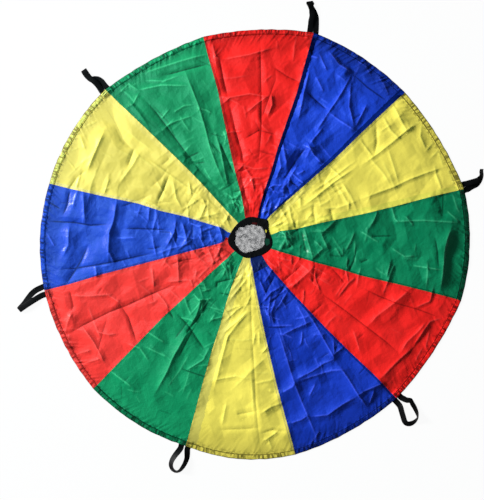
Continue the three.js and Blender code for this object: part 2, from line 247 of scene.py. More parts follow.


# %% [markdown]
# ## Packing creases
#
# The long lines in the cloth are the folds it was packed with, and these do have a definite place. Each
# one is drawn as a few points in centimetres from the vent's middle, with how high the fold
# stands, and how far it slopes on the side that faces the window light and on the side that faces away,
# in millimetres. A negative height is a fold that was pressed the other way. The slope is steepest at the
# line itself and runs out smoothly, so the line is sharp and the foot isn't, and every fold dies out at
# both ends. The line is also handed on by itself for the paint: ridges get a painted highlight, which
# partly stands for worn coating, and valleys a painted shade.

# %% The creases of each panel
# (height, slope towards the light, slope away from it, points)
CREASES = {
    "12 red": [
        (-3, 13, 15, [(4.3, 86), (4.8, 60), (4.7, 45), (3.5, 31.5)]),
        (6, 25, 34, [(-12, 76.3), (0, 78.3), (10, 81.3)]),
        (5, 8, 30, [(-16.5, 84), (-14.5, 77), (-12, 76)]),
        (-3.5, 16, 15, [(-13, 76.5), (-11, 66), (-9.4, 60)]),
        (5, 12, 22, [(-12.5, 56.5), (-8.5, 60), (0, 61.5), (9, 60)]),
        (3, 14, 16, [(-1.5, 53.5), (2.5, 57), (7.5, 60.5)]),
        (4, 14, 16, [(9, 62), (9.5, 57), (7.5, 52)]),
        (-2.5, 14, 14, [(10, 73), (16, 69), (21.5, 66.5)]),
        (-6.5, 32, 14, [(-9, 58), (-6.5, 47), (-3.3, 36), (-2.5, 30)]),
        (-4, 20, 12, [(-4, 27), (-2.5, 21), (-0.5, 14)]),
        (3.5, 10, 16, [(-7, 27), (-3, 31), (2, 29.5), (8.5, 30)]),
        (3, 10, 12, [(-3, 31), (0.5, 26), (2, 19)]),
        (-3, 16, 12, [(-2, 42.5), (4, 46), (12, 44)]),
    ],
    "11 green": [
        (7, 16, 36, [(-47, 70), (-38, 73), (-30, 75.5), (-17, 79)]),
        (-3.5, 14, 10, [(-37, 69.5), (-26, 72.3), (-17.5, 74.5)]),
        (2.2, 7, 9, [(-46, 67.5), (-37, 67), (-30, 69.5)]),
        (5, 20, 32, [(-49, 63), (-38, 65.3), (-26, 65)]),
        (3, 9, 12, [(-57, 61), (-52, 66), (-47, 62.5)]),
        (3, 9, 14, [(-47.5, 62), (-50, 57), (-54, 55)]),
        (6.5, 30, 28, [(-28.8, 73.5), (-22.5, 57.5), (-19.5, 48), (-17.2, 38.5), (-14, 30), (-9.5, 19.5)]),
        (-6, 30, 15, [(-46.5, 60.5), (-40.5, 54), (-36, 48), (-27.5, 36.5), (-21.5, 29), (-10, 17)]),
        (2.5, 9, 9, [(-37, 47.5), (-31.5, 50), (-24, 52.5)]),
        (2, 8, 9, [(-38, 51), (-34.5, 55)]),
        (2.2, 9, 11, [(-33, 53.5), (-28, 56.5), (-24, 57)]),
        (3, 10, 14, [(-23, 55.5), (-18.5, 54.5), (-16, 53)]),
        (3.5, 9, 15, [(-14.5, 44), (-12.3, 36), (-9.3, 21)]),
        (-3.5, 14, 10, [(-13, 41), (-9, 32), (-6.3, 26)]),
        (3.5, 10, 26, [(-29.5, 36.5), (-27.5, 34), (-29, 31.5)]),
        (3.5, 10, 22, [(-24, 31.5), (-22.5, 29.5), (-24.5, 27)]),
        (3, 10, 12, [(-52, 59), (-47, 53), (-43, 47)]),
        (3, 7, 9, [(-10.5, 19.5), (-7.5, 17), (-4, 18.5)]),
        (3.5, 8, 12, [(-9, 14.5), (-6.5, 15), (-4, 13.5)]),
        (-3.5, 12, 8, [(-7, 10.5), (-5.5, 14), (-3.6, 8.5)]),
    ],
    "10 yellow": [
        (-8, 42, 34, [(-62.5, 57), (-57.5, 49), (-54.5, 42), (-50, 37.5)]),
        (9, 16, 44, [(-62.2, 46), (-66.5, 36), (-70, 27.5)]),
        (4, 12, 30, [(-73, 44.5), (-70.5, 37.5)]),
        (-4.5, 16, 12, [(-70.3, 29), (-74, 26), (-77.8, 20.5)]),
        (2.5, 9, 9, [(-72.5, 28), (-74.5, 20.5)]),
        (5, 10, 42, [(-47, 36.5), (-51, 30), (-56, 23)]),
        (-3.5, 16, 10, [(-49.5, 38), (-52.3, 30.5)]),
        (2.2, 9, 11, [(-79, 36.5), (-73, 38.8)]),
        (2.2, 9, 9, [(-78.5, 34), (-75, 29.5)]),
        (2.2, 9, 12, [(-72, 47), (-65.5, 50)]),
        (3, 12, 14, [(-60, 26), (-62.5, 18.5)]),
        (2.5, 9, 10, [(-43.5, 33.5), (-36, 28), (-25, 20.3), (-21, 17.3)]),
        (-4, 14, 14, [(-34.5, 27), (-37, 20.5), (-39.7, 14.8)]),
        (2.5, 9, 9, [(-29, 12), (-21.3, 17)]),
        (3.5, 14, 8, [(-20.5, 17.5), (-19, 14), (-21.5, 8)]),
        (3, 9, 18, [(-46, 16), (-42, 15), (-38, 12.5)]),
        (4, 12, 22, [(-24, 8), (-18, 9.5), (-12, 11)]),
        (4.5, 10, 15, [(-10.5, 10), (-9, 6), (-7.5, 2)]),
        (2.5, 9, 9, [(-26, 24), (-25, 18)]),
        (2.5, 10, 12, [(-33, 25), (-31.5, 17), (-29, 12.5)]),
    ],
    "09 blue": [
        (10, 22, 48, [(-56.8, 17.5), (-58.2, 8), (-60.2, 2), (-60.6, -10.5)]),
        (3, 8, 10, [(-60, -6), (-58, -11)]),
        (-5, 15, 17, [(-88, 7.3), (-75, 6.6), (-68, 5.4), (-59.5, 6)]),
        (-2.5, 9, 10, [(-54, 4), (-48, 4), (-35, 3.5)]),
        (6.5, 26, 55, [(-71.5, 20.5), (-71, 13), (-70.5, 6)]),
        (-4, 12, 10, [(-77, 21), (-78.3, 14), (-80.3, 9.5)]),
        (-3, 9, 10, [(-87, 16), (-81, 12.3)]),
        (3, 10, 16, [(-73.5, 21), (-76, 12.5)]),
        (6, 16, 42, [(-77.5, 5.5), (-77.8, -3), (-80.3, -8)]),
        (-7, 55, 26, [(-69, -2.5), (-72.5, -10), (-79, -20.5)]),
        (-3.5, 11, 13, [(-83, -13.5), (-75, -13), (-65, -11.5), (-55, -9.5), (-40, -6)]),
        (4.5, 10, 28, [(-66, -11.5), (-65.5, -17)]),
        (3, 10, 16, [(-87, 2), (-83.5, -4)]),
        (5, 12, 18, [(-31.6, 8.5), (-32.3, 2.5), (-36, -4)]),
        (4.5, 9, 17, [(-29.2, 7), (-27.7, 2), (-26.7, -3.5)]),
        (2.5, 7, 8, [(-40, -7), (-34, -4.5), (-26, -2.5)]),
        (2.2, 6, 7, [(-31, -5), (-25, -1)]),
        (4, 12, 22, [(-43, 13.5), (-43.5, 7)]),
        (4.5, 14, 40, [(-21.5, 6), (-20.5, -1)]),
        (3, 7, 9, [(-17.5, 3.5), (-16, -2.5)]),
        (3.5, 8, 12, [(-13.3, 5), (-11.5, -1)]),
        (2.5, 9, 12, [(-26, 6.5), (-22, 5), (-20, 5.5)]),
    ],
    "08 red": [
        (
            *(-4.5, 18, 13),
            [(-80, -42.3), (-72, -37.7), (-60, -31.6), (-53, -29), (-42, -24), (-33, -20.2), (-28, -20.5)],
        ),
        (-3.8, 10, 13, [(-56, -28), (-52, -34), (-48.3, -44.5)]),
        (5, 13, 20, [(-72, -37.5), (-67, -44), (-61.8, -54)]),
        (-5, 30, 10, [(-77, -22.5), (-75.5, -29), (-76.5, -31.5)]),
        (7, 12, 38, [(-76, -31.5), (-78, -36), (-79.7, -42)]),
        (6, 12, 38, [(-77.8, -40.5), (-76.8, -49)]),
        (3.5, 11, 16, [(-75.5, -50), (-67.5, -47.8)]),
        (4, 12, 22, [(-71.5, -53.8), (-63.5, -51.3)]),
        (3, 12, 16, [(-76, -24.7), (-68, -24.8), (-58, -24)]),
        (3, 12, 14, [(-61, -24), (-55, -28)]),
        (6, 26, 46, [(-31, -6.5), (-30.5, -20)]),
        (4.5, 18, 26, [(-42, -12.5), (-41, -21.5)]),
        (2.5, 9, 10, [(-35.5, -18.8), (-25, -17.8)]),
        (3, 9, 10, [(-40, -23), (-36, -28), (-34.5, -31)]),
        (3, 9, 14, [(-25.5, -17.5), (-24.3, -21)]),
        (4, 9, 14, [(-18, -4.5), (-16.5, -8), (-15.3, -11.5)]),
        (3.5, 9, 10, [(-12.5, -3.5), (-14.3, -9)]),
        (2.5, 10, 12, [(-66, -40), (-60, -41.3), (-57, -41)]),
    ],
    "07 green": [
        (6, 30, 15, [(-21.7, -24.5), (-21.2, -27.5), (-23, -33), (-25.7, -37.8)]),
        (8, 42, 42, [(-26, -38.3), (-29, -44), (-33, -51), (-35.5, -57), (-41, -67)]),
        (-6, 20, 18, [(-31.5, -32), (-26, -38), (-22.5, -43.5), (-18.7, -48.8)]),
        (2.5, 6, 8, [(-20.2, -27), (-20.7, -34)]),
        (3, 8, 9, [(-24.5, -23.5), (-21.7, -26.5), (-16, -26)]),
        (-2.7, 9, 9, [(-14.3, -22), (-14, -19), (-7, -17.3)]),
        (4.5, 12, 26, [(-13, -9.5), (-10.5, -13.5), (-12, -17)]),
        (3, 8, 12, [(-8.6, -10.5), (-8, -18.5)]),
        (3, 14, 18, [(-44.5, -46.5), (-35, -51)]),
        (3, 12, 18, [(-53, -45), (-47, -47), (-43, -53)]),
        (3, 12, 14, [(-60, -56.5), (-50, -64)]),
        (2.5, 12, 14, [(-44, -40), (-36, -45)]),
        (3, 10, 16, [(-28, -57), (-20, -52), (-17, -46)]),
        (2.5, 9, 12, [(-17, -35), (-11, -33.5)]),
    ],
    "06 yellow": [
        (-2.8, 12, 12, [(0.4, -17), (0.4, -30), (0.8, -40), (2, -60), (2.4, -70), (3.2, -79), (4.6, -91)]),
        (7.5, 24, 36, [(0, -31.2), (-5, -36.2), (-9.5, -42), (-12, -51), (-15.5, -65)]),
        (3.5, 8, 14, [(-12, -41.2), (-6, -36), (-1, -31.5)]),
        (3.5, 9, 13, [(-11, -36), (-6, -31), (-2, -28.5)]),
        (3, 8, 11, [(-10, -31.5), (-6, -29.3), (-3, -29)]),
        (3.5, 8, 12, [(-9, -27), (-5, -22), (-1, -17)]),
        (3, 8, 11, [(-8, -23), (-4.5, -18.5), (-2, -13.5)]),
        (-2.5, 9, 9, [(-7, -18), (-3, -15)]),
        (3.5, 14, 17, [(-17, -61), (-6, -59), (2, -60.5)]),
        (2.5, 10, 12, [(2, -62.2), (10.3, -60.5)]),
        (5, 14, 28, [(4.5, -75), (9, -72), (14, -70.5)]),
        (-3.5, 20, 16, [(-6, -75.5), (2.5, -74)]),
        (-3.5, 16, 14, [(-13, -82), (-4, -81.7), (3.3, -81.2)]),
        (-3, 12, 12, [(5, -83.5), (10, -82), (15.5, -82.7)]),
        (3.5, 9, 16, [(6, -86.7), (9, -84.7), (12, -82.5)]),
        (3, 10, 22, [(5, -86), (8, -86.5), (9.5, -91)]),
        (2.5, 9, 10, [(8, -65), (11.5, -66)]),
        (2.5, 14, 16, [(-10, -70), (-12, -80)]),
        (3, 10, 16, [(4.5, -50), (7.5, -46.5), (9, -41)]),
    ],
    "05 blue": [
        (
            *(4.5, 12, 24),
            [(10.8, -37), (13, -43), (17, -56), (18.6, -61.2), (22, -70), (24.7, -76.3), (29.5, -88)],
        ),
        (5.5, 16, 26, [(22, -29), (27, -35.5), (35, -49.7), (37.5, -54)]),
        (7.5, 50, 24, [(37.5, -54), (42, -60.3), (46, -67), (50.5, -73)]),
        (4, 11, 13, [(13, -41.7), (20, -38.2), (27, -35.3)]),
        (6, 13, 17, [(18.6, -60.6), (26, -57), (32, -53.2), (37, -51.2)]),
        (6.5, 16, 44, [(21, -61), (28, -58.5), (35, -56.5), (41.5, -56)]),
        (5.5, 13, 50, [(12, -67), (18, -63.3), (19.5, -61)]),
        (5.5, 15, 28, [(25, -76.3), (33, -75.5), (40, -70.7), (46, -67.2)]),
        (4.5, 12, 24, [(15.5, -79.7), (22, -77.5), (25, -75.3)]),
        (7, 13, 48, [(45.5, -67), (50, -64.7), (58, -61.3)]),
        (4, 8, 12, [(51, -71), (53, -65)]),
        (5, 16, 24, [(35.5, -43), (36, -49.5), (40.5, -46)]),
        (4, 10, 20, [(2.5, -16.5), (5, -20), (7.2, -25.5)]),
        (5, 12, 34, [(4.8, -28), (9, -23), (14, -20.3)]),
        (4.5, 12, 26, [(6, -19), (9.5, -13.5), (12.5, -14.5)]),
        (3, 7, 9, [(16.3, -22.7), (10.3, -31.8)]),
        (3, 7, 9, [(11.3, -25), (9, -32), (10.2, -38)]),
        (3.5, 8, 14, [(9, -23), (7.8, -31), (8.8, -37)]),
        (3, 9, 14, [(5.5, -28.5), (8, -33.5)]),
        (2.5, 12, 14, [(9, -37.5), (19, -37.3)]),
        (3, 12, 18, [(28, -62), (25, -68)]),
        (3, 12, 16, [(30, -82), (26, -88)]),
    ],
    "04 red": [
        (-3.3, 12, 14, [(29, -22.5), (41, -31.3), (50, -38.2), (58, -44.3), (65, -50.5)]),
        (-3.3, 11, 11, [(47, -20.8), (55, -24.8), (63, -28), (72, -30.6), (83, -34.7)]),
        (7.5, 18, 52, [(50, -38), (54, -33.3), (60, -28.8), (69.5, -21)]),
        (5.5, 14, 32, [(64, -49.3), (67, -44.3), (71, -40.7), (75.5, -35.5)]),
        (4.5, 10, 18, [(70, -46.3), (74, -39.8), (77, -35.7), (83, -34)]),
        (4, 9, 18, [(75, -47.5), (76.8, -39.5)]),
        (7, 20, 34, [(55, -60.5), (65, -50.6), (70.5, -46)]),
        (3.5, 9, 16, [(70.5, -53), (74, -46.5)]),
        (4, 13, 15, [(37.5, -25.5), (42, -19.3), (45.5, -16.3)]),
        (3, 8, 8, [(41, -14), (42, -19)]),
        (3, 9, 12, [(56.8, -24), (59.3, -17)]),
        (4.5, 14, 14, [(78.5, -20), (77, -27), (70, -30)]),
        (3, 18, 24, [(44, -39), (47, -49)]),
        (8, 34, 44, [(28, -11.5), (22.5, -16.7), (16.8, -21.8)]),
        (-4, 24, 14, [(22.5, -11.2), (14, -18.8)]),
        (2.7, 6, 7, [(27.5, -13.5), (28, -18), (30, -23)]),
        (3.5, 9, 15, [(6.5, -8.5), (9, -11), (12.5, -13.5)]),
        (4, 9, 15, [(11, -8), (14, -9), (19, -10)]),
        (3, 8, 12, [(12, -9.5), (13, -14)]),
        (3, 9, 14, [(17.5, -6.8), (17.8, -12)]),
    ],
    "03 green": [
        (7, 24, 40, [(86.5, 6), (84, 0), (83, -5), (82.6, -10.5), (82, -16), (81.2, -23)]),
        (-8, 46, 9, [(82.6, 19.5), (82.3, 9)]),
        (4, 22, 26, [(60, 7), (74, 7.5), (91, 6.5)]),
        (3, 8, 14, [(84, 12), (86.5, 9.5), (90, 6.5)]),
        (3, 8, 12, [(86.5, 19.5), (88.5, 13), (90, 10)]),
        (4.5, 15, 9, [(69, -11.7), (76, -12.8), (82, -13.7)]),
        (3.5, 8, 12, [(61.7, -11), (60, -15), (58.5, -19.5)]),
        (3, 7, 8, [(60, -10), (58, -17)]),
        (3.5, 12, 16, [(54.5, 12), (53, 8), (50.5, 4)]),
        (3, 9, 14, [(60.5, 13.5), (62, 8), (64, 6)]),
        (2.5, 8, 12, [(66, 9.5), (70, 5)]),
        (5, 9, 14, [(23, 4.5), (24.5, -1), (26, -6), (27, -10)]),
        (3.5, 8, 12, [(27, -0.5), (31, -4.6), (26, -9.5)]),
        (3.5, 8, 14, [(30, 3), (31.5, -1), (33.5, -5.2)]),
        (3.5, 8, 14, [(37, 8), (34, 5), (31, 2.5)]),
        (7, 16, 40, [(15.3, 4), (15, 0.5), (16.7, -4.5)]),
        (-4.5, 34, 10, [(22, 3.5), (23, -2), (24.5, -7.5)]),
        (3, 8, 9, [(13, -5), (15, -1.5)]),
        (3.5, 9, 14, [(41.7, -8), (41, -14.5)]),
        (2.5, 8, 9, [(36.5, -4), (39, -8.5)]),
        (3.5, 12, 22, [(27, 6.5), (31, 7.5), (36, 8.5)]),
        (3, 14, 22, [(60, -4), (66, -8), (71, -7.5)]),
        (3, 14, 20, [(47, 3), (55, -2)]),
    ],
    "02 yellow": [
        (5, 16, 16, [(73.5, 50), (66.5, 45.6), (60, 40.2), (54, 35.6), (48, 31.3)]),
        (5.2, 26, 28, [(61.3, 56.8), (64, 51), (67.3, 45)]),
        (6, 24, 30, [(57, 51.5), (60, 46), (64, 42)]),
        (-6.5, 38, 26, [(53.8, 48.5), (54.3, 41), (53.3, 35.5)]),
        (3, 8, 10, [(47, 42), (52.5, 34.7)]),
        (4.2, 12, 30, [(73.6, 49.5), (72.8, 43.5), (75.3, 37.3)]),
        (3, 8, 10, [(75.3, 37.3), (78.5, 41)]),
        (4, 10, 22, [(77, 34), (80.5, 37.3), (83, 30)]),
        (5, 15, 15, [(84, 30.7), (76, 28), (68, 25), (62, 22), (47, 16.5)]),
        (4.5, 8, 28, [(84.3, 30), (87.5, 22.5)]),
        (3.5, 26, 30, [(51, 34.5), (57, 27.5), (60, 22.5)]),
        (2.5, 12, 16, [(59, 38), (63.5, 23.5)]),
        (3, 10, 12, [(79, 29), (82, 20.5)]),
        (5.5, 12, 17, [(45, 30), (36, 24), (28, 17.5), (22.5, 13.5)]),
        (3, 8, 12, [(45, 33), (36, 26.2), (25.5, 18.8)]),
        (3.5, 9, 14, [(19, 18.3), (21.5, 17), (21.5, 13)]),
        (-4, 13, 14, [(27.3, 14.5), (27, 11), (28.3, 6.5)]),
        (3.5, 12, 30, [(39, 24), (43, 18), (45.5, 12)]),
        (3, 9, 10, [(33.5, 31), (39.5, 25.5)]),
        (3.5, 8, 13, [(12.5, 14), (14, 11), (17, 5.5)]),
        (3.5, 8, 13, [(16.5, 14.5), (17.5, 9), (19, 4.5)]),
        (3, 8, 11, [(9.5, 9), (13, 9), (16, 12)]),
        (3, 8, 11, [(10, 5), (14, 7)]),
        (2.5, 12, 14, [(30, 12.5), (38, 13), (46, 16)]),
    ],
    "01 blue": [
        (8, 32, 44, [(33, 80.5), (38, 74), (43.7, 70.3)]),
        (-7, 20, 26, [(43.7, 70.5), (50, 64.7), (59, 58.3)]),
        (6.5, 14, 34, [(43.5, 70), (39, 62), (33.5, 53.7), (27.5, 44.5)]),
        (6, 16, 20, [(33.5, 53.7), (38.5, 49.6), (45.5, 45.3)]),
        (6, 22, 36, [(43, 66.5), (42.3, 56), (44.3, 47)]),
        (5.5, 15, 32, [(25.5, 73), (22.5, 60), (20.5, 50)]),
        (-4.5, 20, 16, [(23.5, 63), (28, 59), (33, 54.5)]),
        (4, 10, 14, [(29.5, 79), (31, 75), (33, 71)]),
        (5, 10, 20, [(24.5, 82), (26.5, 77.5), (30, 76.5)]),
        (5, 12, 22, [(45, 76.5), (49.5, 73.3), (52, 69)]),
        (5, 12, 24, [(54, 70), (57, 66), (59.5, 61)]),
        (3.5, 12, 14, [(50, 57.5), (47.5, 52.5), (45, 47.5)]),
        (-5.5, 24, 13, [(24.5, 39.5), (19.5, 33), (14, 24)]),
        (6.5, 12, 40, [(24, 41), (27, 35.6), (31.3, 31)]),
        (5, 10, 28, [(31, 47), (28, 43.5), (25.3, 40)]),
        (3, 8, 9, [(20.5, 31.5), (17, 26), (16.3, 21.5)]),
        (4, 12, 30, [(13.5, 43), (14.5, 37), (15.8, 30)]),
        (3, 8, 12, [(12.3, 37), (13, 30), (10.5, 24)]),
        (3.5, 10, 20, [(6, 20), (10, 22.5), (15, 22.5)]),
        (3, 7, 8, [(5, 8.5), (6.5, 13), (8.3, 18)]),
        (3, 7, 8, [(7.5, 8), (9.3, 16)]),
        (3, 8, 10, [(11, 11.5), (13.5, 18)]),
        (3, 14, 20, [(28, 69), (31.5, 62)]),
        (3, 9, 12, [(20, 27), (23.5, 29)]),
    ],
}
print(sum(len(rows) for rows in CREASES.values()), "creases drawn by hand")

# %% Height of one crease at many places
LIGHT_FROM = (-0.95, 0.31)
CREASE_ENDS = 0.22  # share of a crease's length over which it dies out, at either end
ENDS_STAND = 0.25  # share of its rise that is left at the very ends
BRIGHT_POWER = 1.5  # over 1 a slope is steepest at the crest; at 1 it is a plane
DARK_POWER = 1.12
SHARP_SHARE = 0.26  # how much of the rise is in a narrow crest that makes the line crisp
SHARP_TIMES = 2.8
LEAST_BRIGHT = 6.4  # least run of a slope towards the light, as a share of its rise
LEAST_DARK = 3.6
FULL_LINE = 2.1 * MM  # a crease of this rise has a fully marked line
LINE_SOFT = 2.6 * MM
LONG_CREASE = 0.30  # m; a crease longer than this was pressed in the bag, and stands lower
LONG_POWER = 0.35


def crease(x, y, points, rise, lit, shaded):
    """What a crease adds to the height at x, y, and its pressed line: 1 on a ridge, -1 in a valley."""
    points = np.asarray(points, float)
    least_lit, least_shaded = (LEAST_BRIGHT, LEAST_DARK) if rise > 0 else (LEAST_DARK, LEAST_BRIGHT)
    lit = max(lit, least_lit * abs(rise))
    shaded = max(shaded, least_shaded * abs(rise))
    low = points.min(axis=0) - max(lit, shaded)
    high = points.max(axis=0) + max(lit, shaded)
    height = np.zeros(x.shape)
    line = np.zeros(x.shape)
    near = (x > low[0]) & (x < high[0]) & (y > low[1]) & (y < high[1])
    if not near.any():
        return height, line
    px = x[near]
    py = y[near]
    steps = np.diff(points, axis=0)
    lengths = np.hypot(*steps.T)
    starts = np.cumsum(lengths) - lengths
    total = lengths.sum()
    rise = rise * min(1, LONG_CREASE / total) ** LONG_POWER
    best = np.full(px.shape, np.inf)
    along = np.zeros(px.shape)
    facing = np.zeros(px.shape)
    for (ax, ay), (dx, dy), length, start in zip(points, steps, lengths, starts):
        share = np.clip(((px - ax) * dx + (py - ay) * dy) / length**2, 0, 1)
        off_x = px - ax - share * dx
        off_y = py - ay - share * dy
        side = (dx * off_y - dy * off_x) * (dx * LIGHT_FROM[1] - dy * LIGHT_FROM[0])
        distance = np.hypot(off_x, off_y)
        closer = distance < best
        best = np.where(closer, distance, best)
        along = np.where(closer, start + share * length, along)
        facing = np.where(closer, side, facing)
    width = np.where(facing > 0, lit, shaded)
    power = np.where((facing > 0) == (rise > 0), BRIGHT_POWER, DARK_POWER)
    profile = (1 - SHARP_SHARE) * np.clip(1 - best / width, 0, None) ** power
    profile += SHARP_SHARE * np.clip(1 - SHARP_TIMES * best / width, 0, None) ** BRIGHT_POWER
    ends = fade(along / (CREASE_ENDS * total)) * fade((total - along) / (CREASE_ENDS * total))
    height[near] = rise * profile * (ENDS_STAND + (1 - ENDS_STAND) * ends)
    mark = math.copysign(min(1, abs(rise) / FULL_LINE), rise)
    line[near] = mark * np.exp(-((best / LINE_SOFT) ** 2)) * ends
    return height, line


# %% [markdown]
# ## Smaller creases
#
# Between the long folds lie some hundreds of short ones that nobody could draw by hand. They are thrown
# at random from a fixed seed, with rules taken from how such cloth looks: short and dense near the vent,
# longer further out, and more of them running outwards or straight across than any other way. Where they
# cross, their plain slopes meet in flat facets.

# %% Throw the smaller creases
# (how many, range of places out from the vent's middle in m, of half lengths in mm, of heights and of slope
#  widths in mm, chance that it runs outwards, chance that it runs across)
WRINKLES = [
    (70, (0.16, 0.86), (45, 110), (1.0, 2.6), (16, 38), 0.5, 0.35),
    (250, (0.11, 0.50), (18, 55), (0.8, 2.4), (8, 18), 0.25, 0.25),
    (120, (0.40, 0.86), (14, 44), (0.4, 1.2), (6, 14), 0.3, 0.3),
]


def random_wrinkles(seed=11):
    """Random creases, each slightly bent, as crease() wants them."""
    rng = np.random.default_rng(seed)
    made = []
    for count, places, halves, rises, widths, outwards, across in WRINKLES:
        for _ in range(count):
            out = rng.uniform(*places)
            bearing = rng.uniform(0, 2 * math.pi)
            kind = rng.random()
            turn = rng.uniform(0.3, 2.8)
            if kind < outwards:
                turn = rng.normal(0, 0.12)
            elif kind < outwards + across:
                turn = math.pi / 2 + rng.normal(0, 0.15)
            half = rng.uniform(*halves) * MM
            middle = np.array(from_polar(out, bearing))
            way = np.array(from_polar(half, bearing + turn))
            bend = rng.normal(0, 0.07) * np.array([-way[1], way[0]])
            rise = rng.uniform(*rises) * rng.choice([1, 1, -1]) * MM
            made.append(([middle - way, middle + bend, middle + way], rise, *(rng.uniform(*widths, 2) * MM)))
    return made


# How strongly each panel's drawn creases stand, from 12 on
DRAWN_SHARES = [1.1, 1.5, 0.8, 1.35, 0.8, 1.2, 0.8, 1.1, 1.1, 1.25, 1.0, 1.1]
drawn_creases = []
for panel, rows in CREASES.items():
    stand = DRAWN_SHARES[int(panel[:2]) % PANELS] * MM
    for rise, lit, shaded, points in rows:
        drawn_creases.append((np.array(points) * CM, stand * rise, lit * MM, shaded * MM))
wrinkles = random_wrinkles()
print(len(drawn_creases), "drawn creases and", len(wrinkles), "random ones")

# %% Where the loops' ends are sewn under the hem
# hour: (how far the loop's two ends are sewn aside of the seam, and how far from each other, in millimetres)
LOOP_SEWN = {1: (4, 25.5), 3: (7, 25.5), 5: (4, 27), 7: (-3, 30), 9: (0, 34), 11: (3, 25.5)}
TAIL_LENGTH = 24 * MM
EDGE_SHARE = 1 / 6  # the share of a panel over which the hem's way beside a seam is measured


def loop_root(k, side):
    """Where one end of loop k leaves the hem, the way outwards there and the way round, anticlockwise.

    Side 1 is anticlockwise of the seam, and side -1 is clockwise of it.
    """
    end = hem_point(k, 0)
    beside = hem_point(k - 1, 1 - EDGE_SHARE) if side > 0 else hem_point(k, EDGE_SHARE)
    edge = (beside - end).normalized()
    aside, apart = LOOP_SEWN[k]
    return end + edge * ((apart / 2 + side * aside) * MM), Vector((edge.y, -edge.x, 0)) * side, edge * side


loop_roots = [loop_root(k, side) for k in LOOP_SEWN for side in (-1, 1)]
print(len(loop_roots), "loop ends under the hem")


# %% [markdown]
# ## One height for the whole canopy
#
# Every panel takes its height from the same function, so neighbours meet exactly at their seam and the
# stitching can be laid on the cloth wherever it runs. The parts of it are: a low lift that lets the cloth
# hang clear of the floor between hem and vent, the drawn creases, the small ones between them, swells and
# facets of several sizes, pleats that radiate from the vent, the gathers and puckers that sewing makes
# along the hem and every seam, and a lump over each loop's end.

# %% The cloth's height anywhere
CLOTH = 0.6 * MM
LEAST_LIFT = 0.9 * MM
VENT_LIFT = 1.4 * MM
BODY_LIFT = 7.5 * MM
VENT_EDGE = 88 * MM  # the cloth starts to rise this far from the vent's middle and from the hem's edge
HEM_EDGE = 12 * MM
VENT_RAMP = 50 * MM  # and has risen over these distances: its crumple first, its lift later
HEM_RAMP = 70 * MM
LIFT_RAMP = 120 * MM
SWELL_RISE = 2.4 * MM
SWELL_PITCH = 0.16
TAIL_RISE = STRAP_THICKNESS + CLOTH + 0.9 * MM
SOFT_LIMIT = 1.2 * MM  # how softly deep valleys are kept over the floor
# How much each panel is crumpled, from 12 on
CRUMPLE = np.array([1.0, 1.7, 0.6, 1.8, 0.8, 1.3, 0.6, 0.85, 0.9, 1.1, 0.7, 0.9])
# (height in mm, width in m, seed) of the facets that lie any way
FACETS = [(3.6, 0.105, 21), (2.4, 0.058, 31)]
# (height in mm, stretch outwards, width in m, seed) of the pleats, and the radius where they are that wide
PLEATS = [(1.7, 0.17, 0.055, 61), (1.2, 0.11, 0.024, 71)]
PLEAT_RADIUS = 0.42
PLEATS_END = 0.36
# (height in mm, slant, stretch inwards, width in m, seed) of the gathers along the hem
GATHERS = [(2.7, 0.6, 0.25, 0.013, 81), (1.8, -0.4, 0.35, 0.043, 82)]
GATHER_REACH = 24 * MM
PUCKER_RISE = 0.9 * MM
PUCKER_REACH = 12 * MM
SEAM_RISE = 0.8 * MM  # the seam's own ridge, of doubled cloth
SEAM_HALF = 7 * MM


def polar_place(x, y):
    """Radius, panel, share across it, distance in from the hem's edge, and turn clockwise from 12."""
    r = np.hypot(x, y)
    bearing = np.arctan2(y, x)
    turns = np.array([seam_bearing(0, r) - seam_bearing(i, r) for i in range(PANELS + 1)])
    clockwise = (seam_bearing(0, r) - bearing) % (2 * math.pi)
    k = np.clip(np.sum(clockwise >= turns[1:], axis=0), 0, PANELS - 1)
    here, after = (np.take_along_axis(turns, k[None] + i, 0)[0] for i in (0, 1))
    share = (clockwise - here) / (after - here)
    return r, k, share, hem_reach(k, share) - r, (np.radians(BEARINGS[0]) - bearing) % (2 * math.pi)


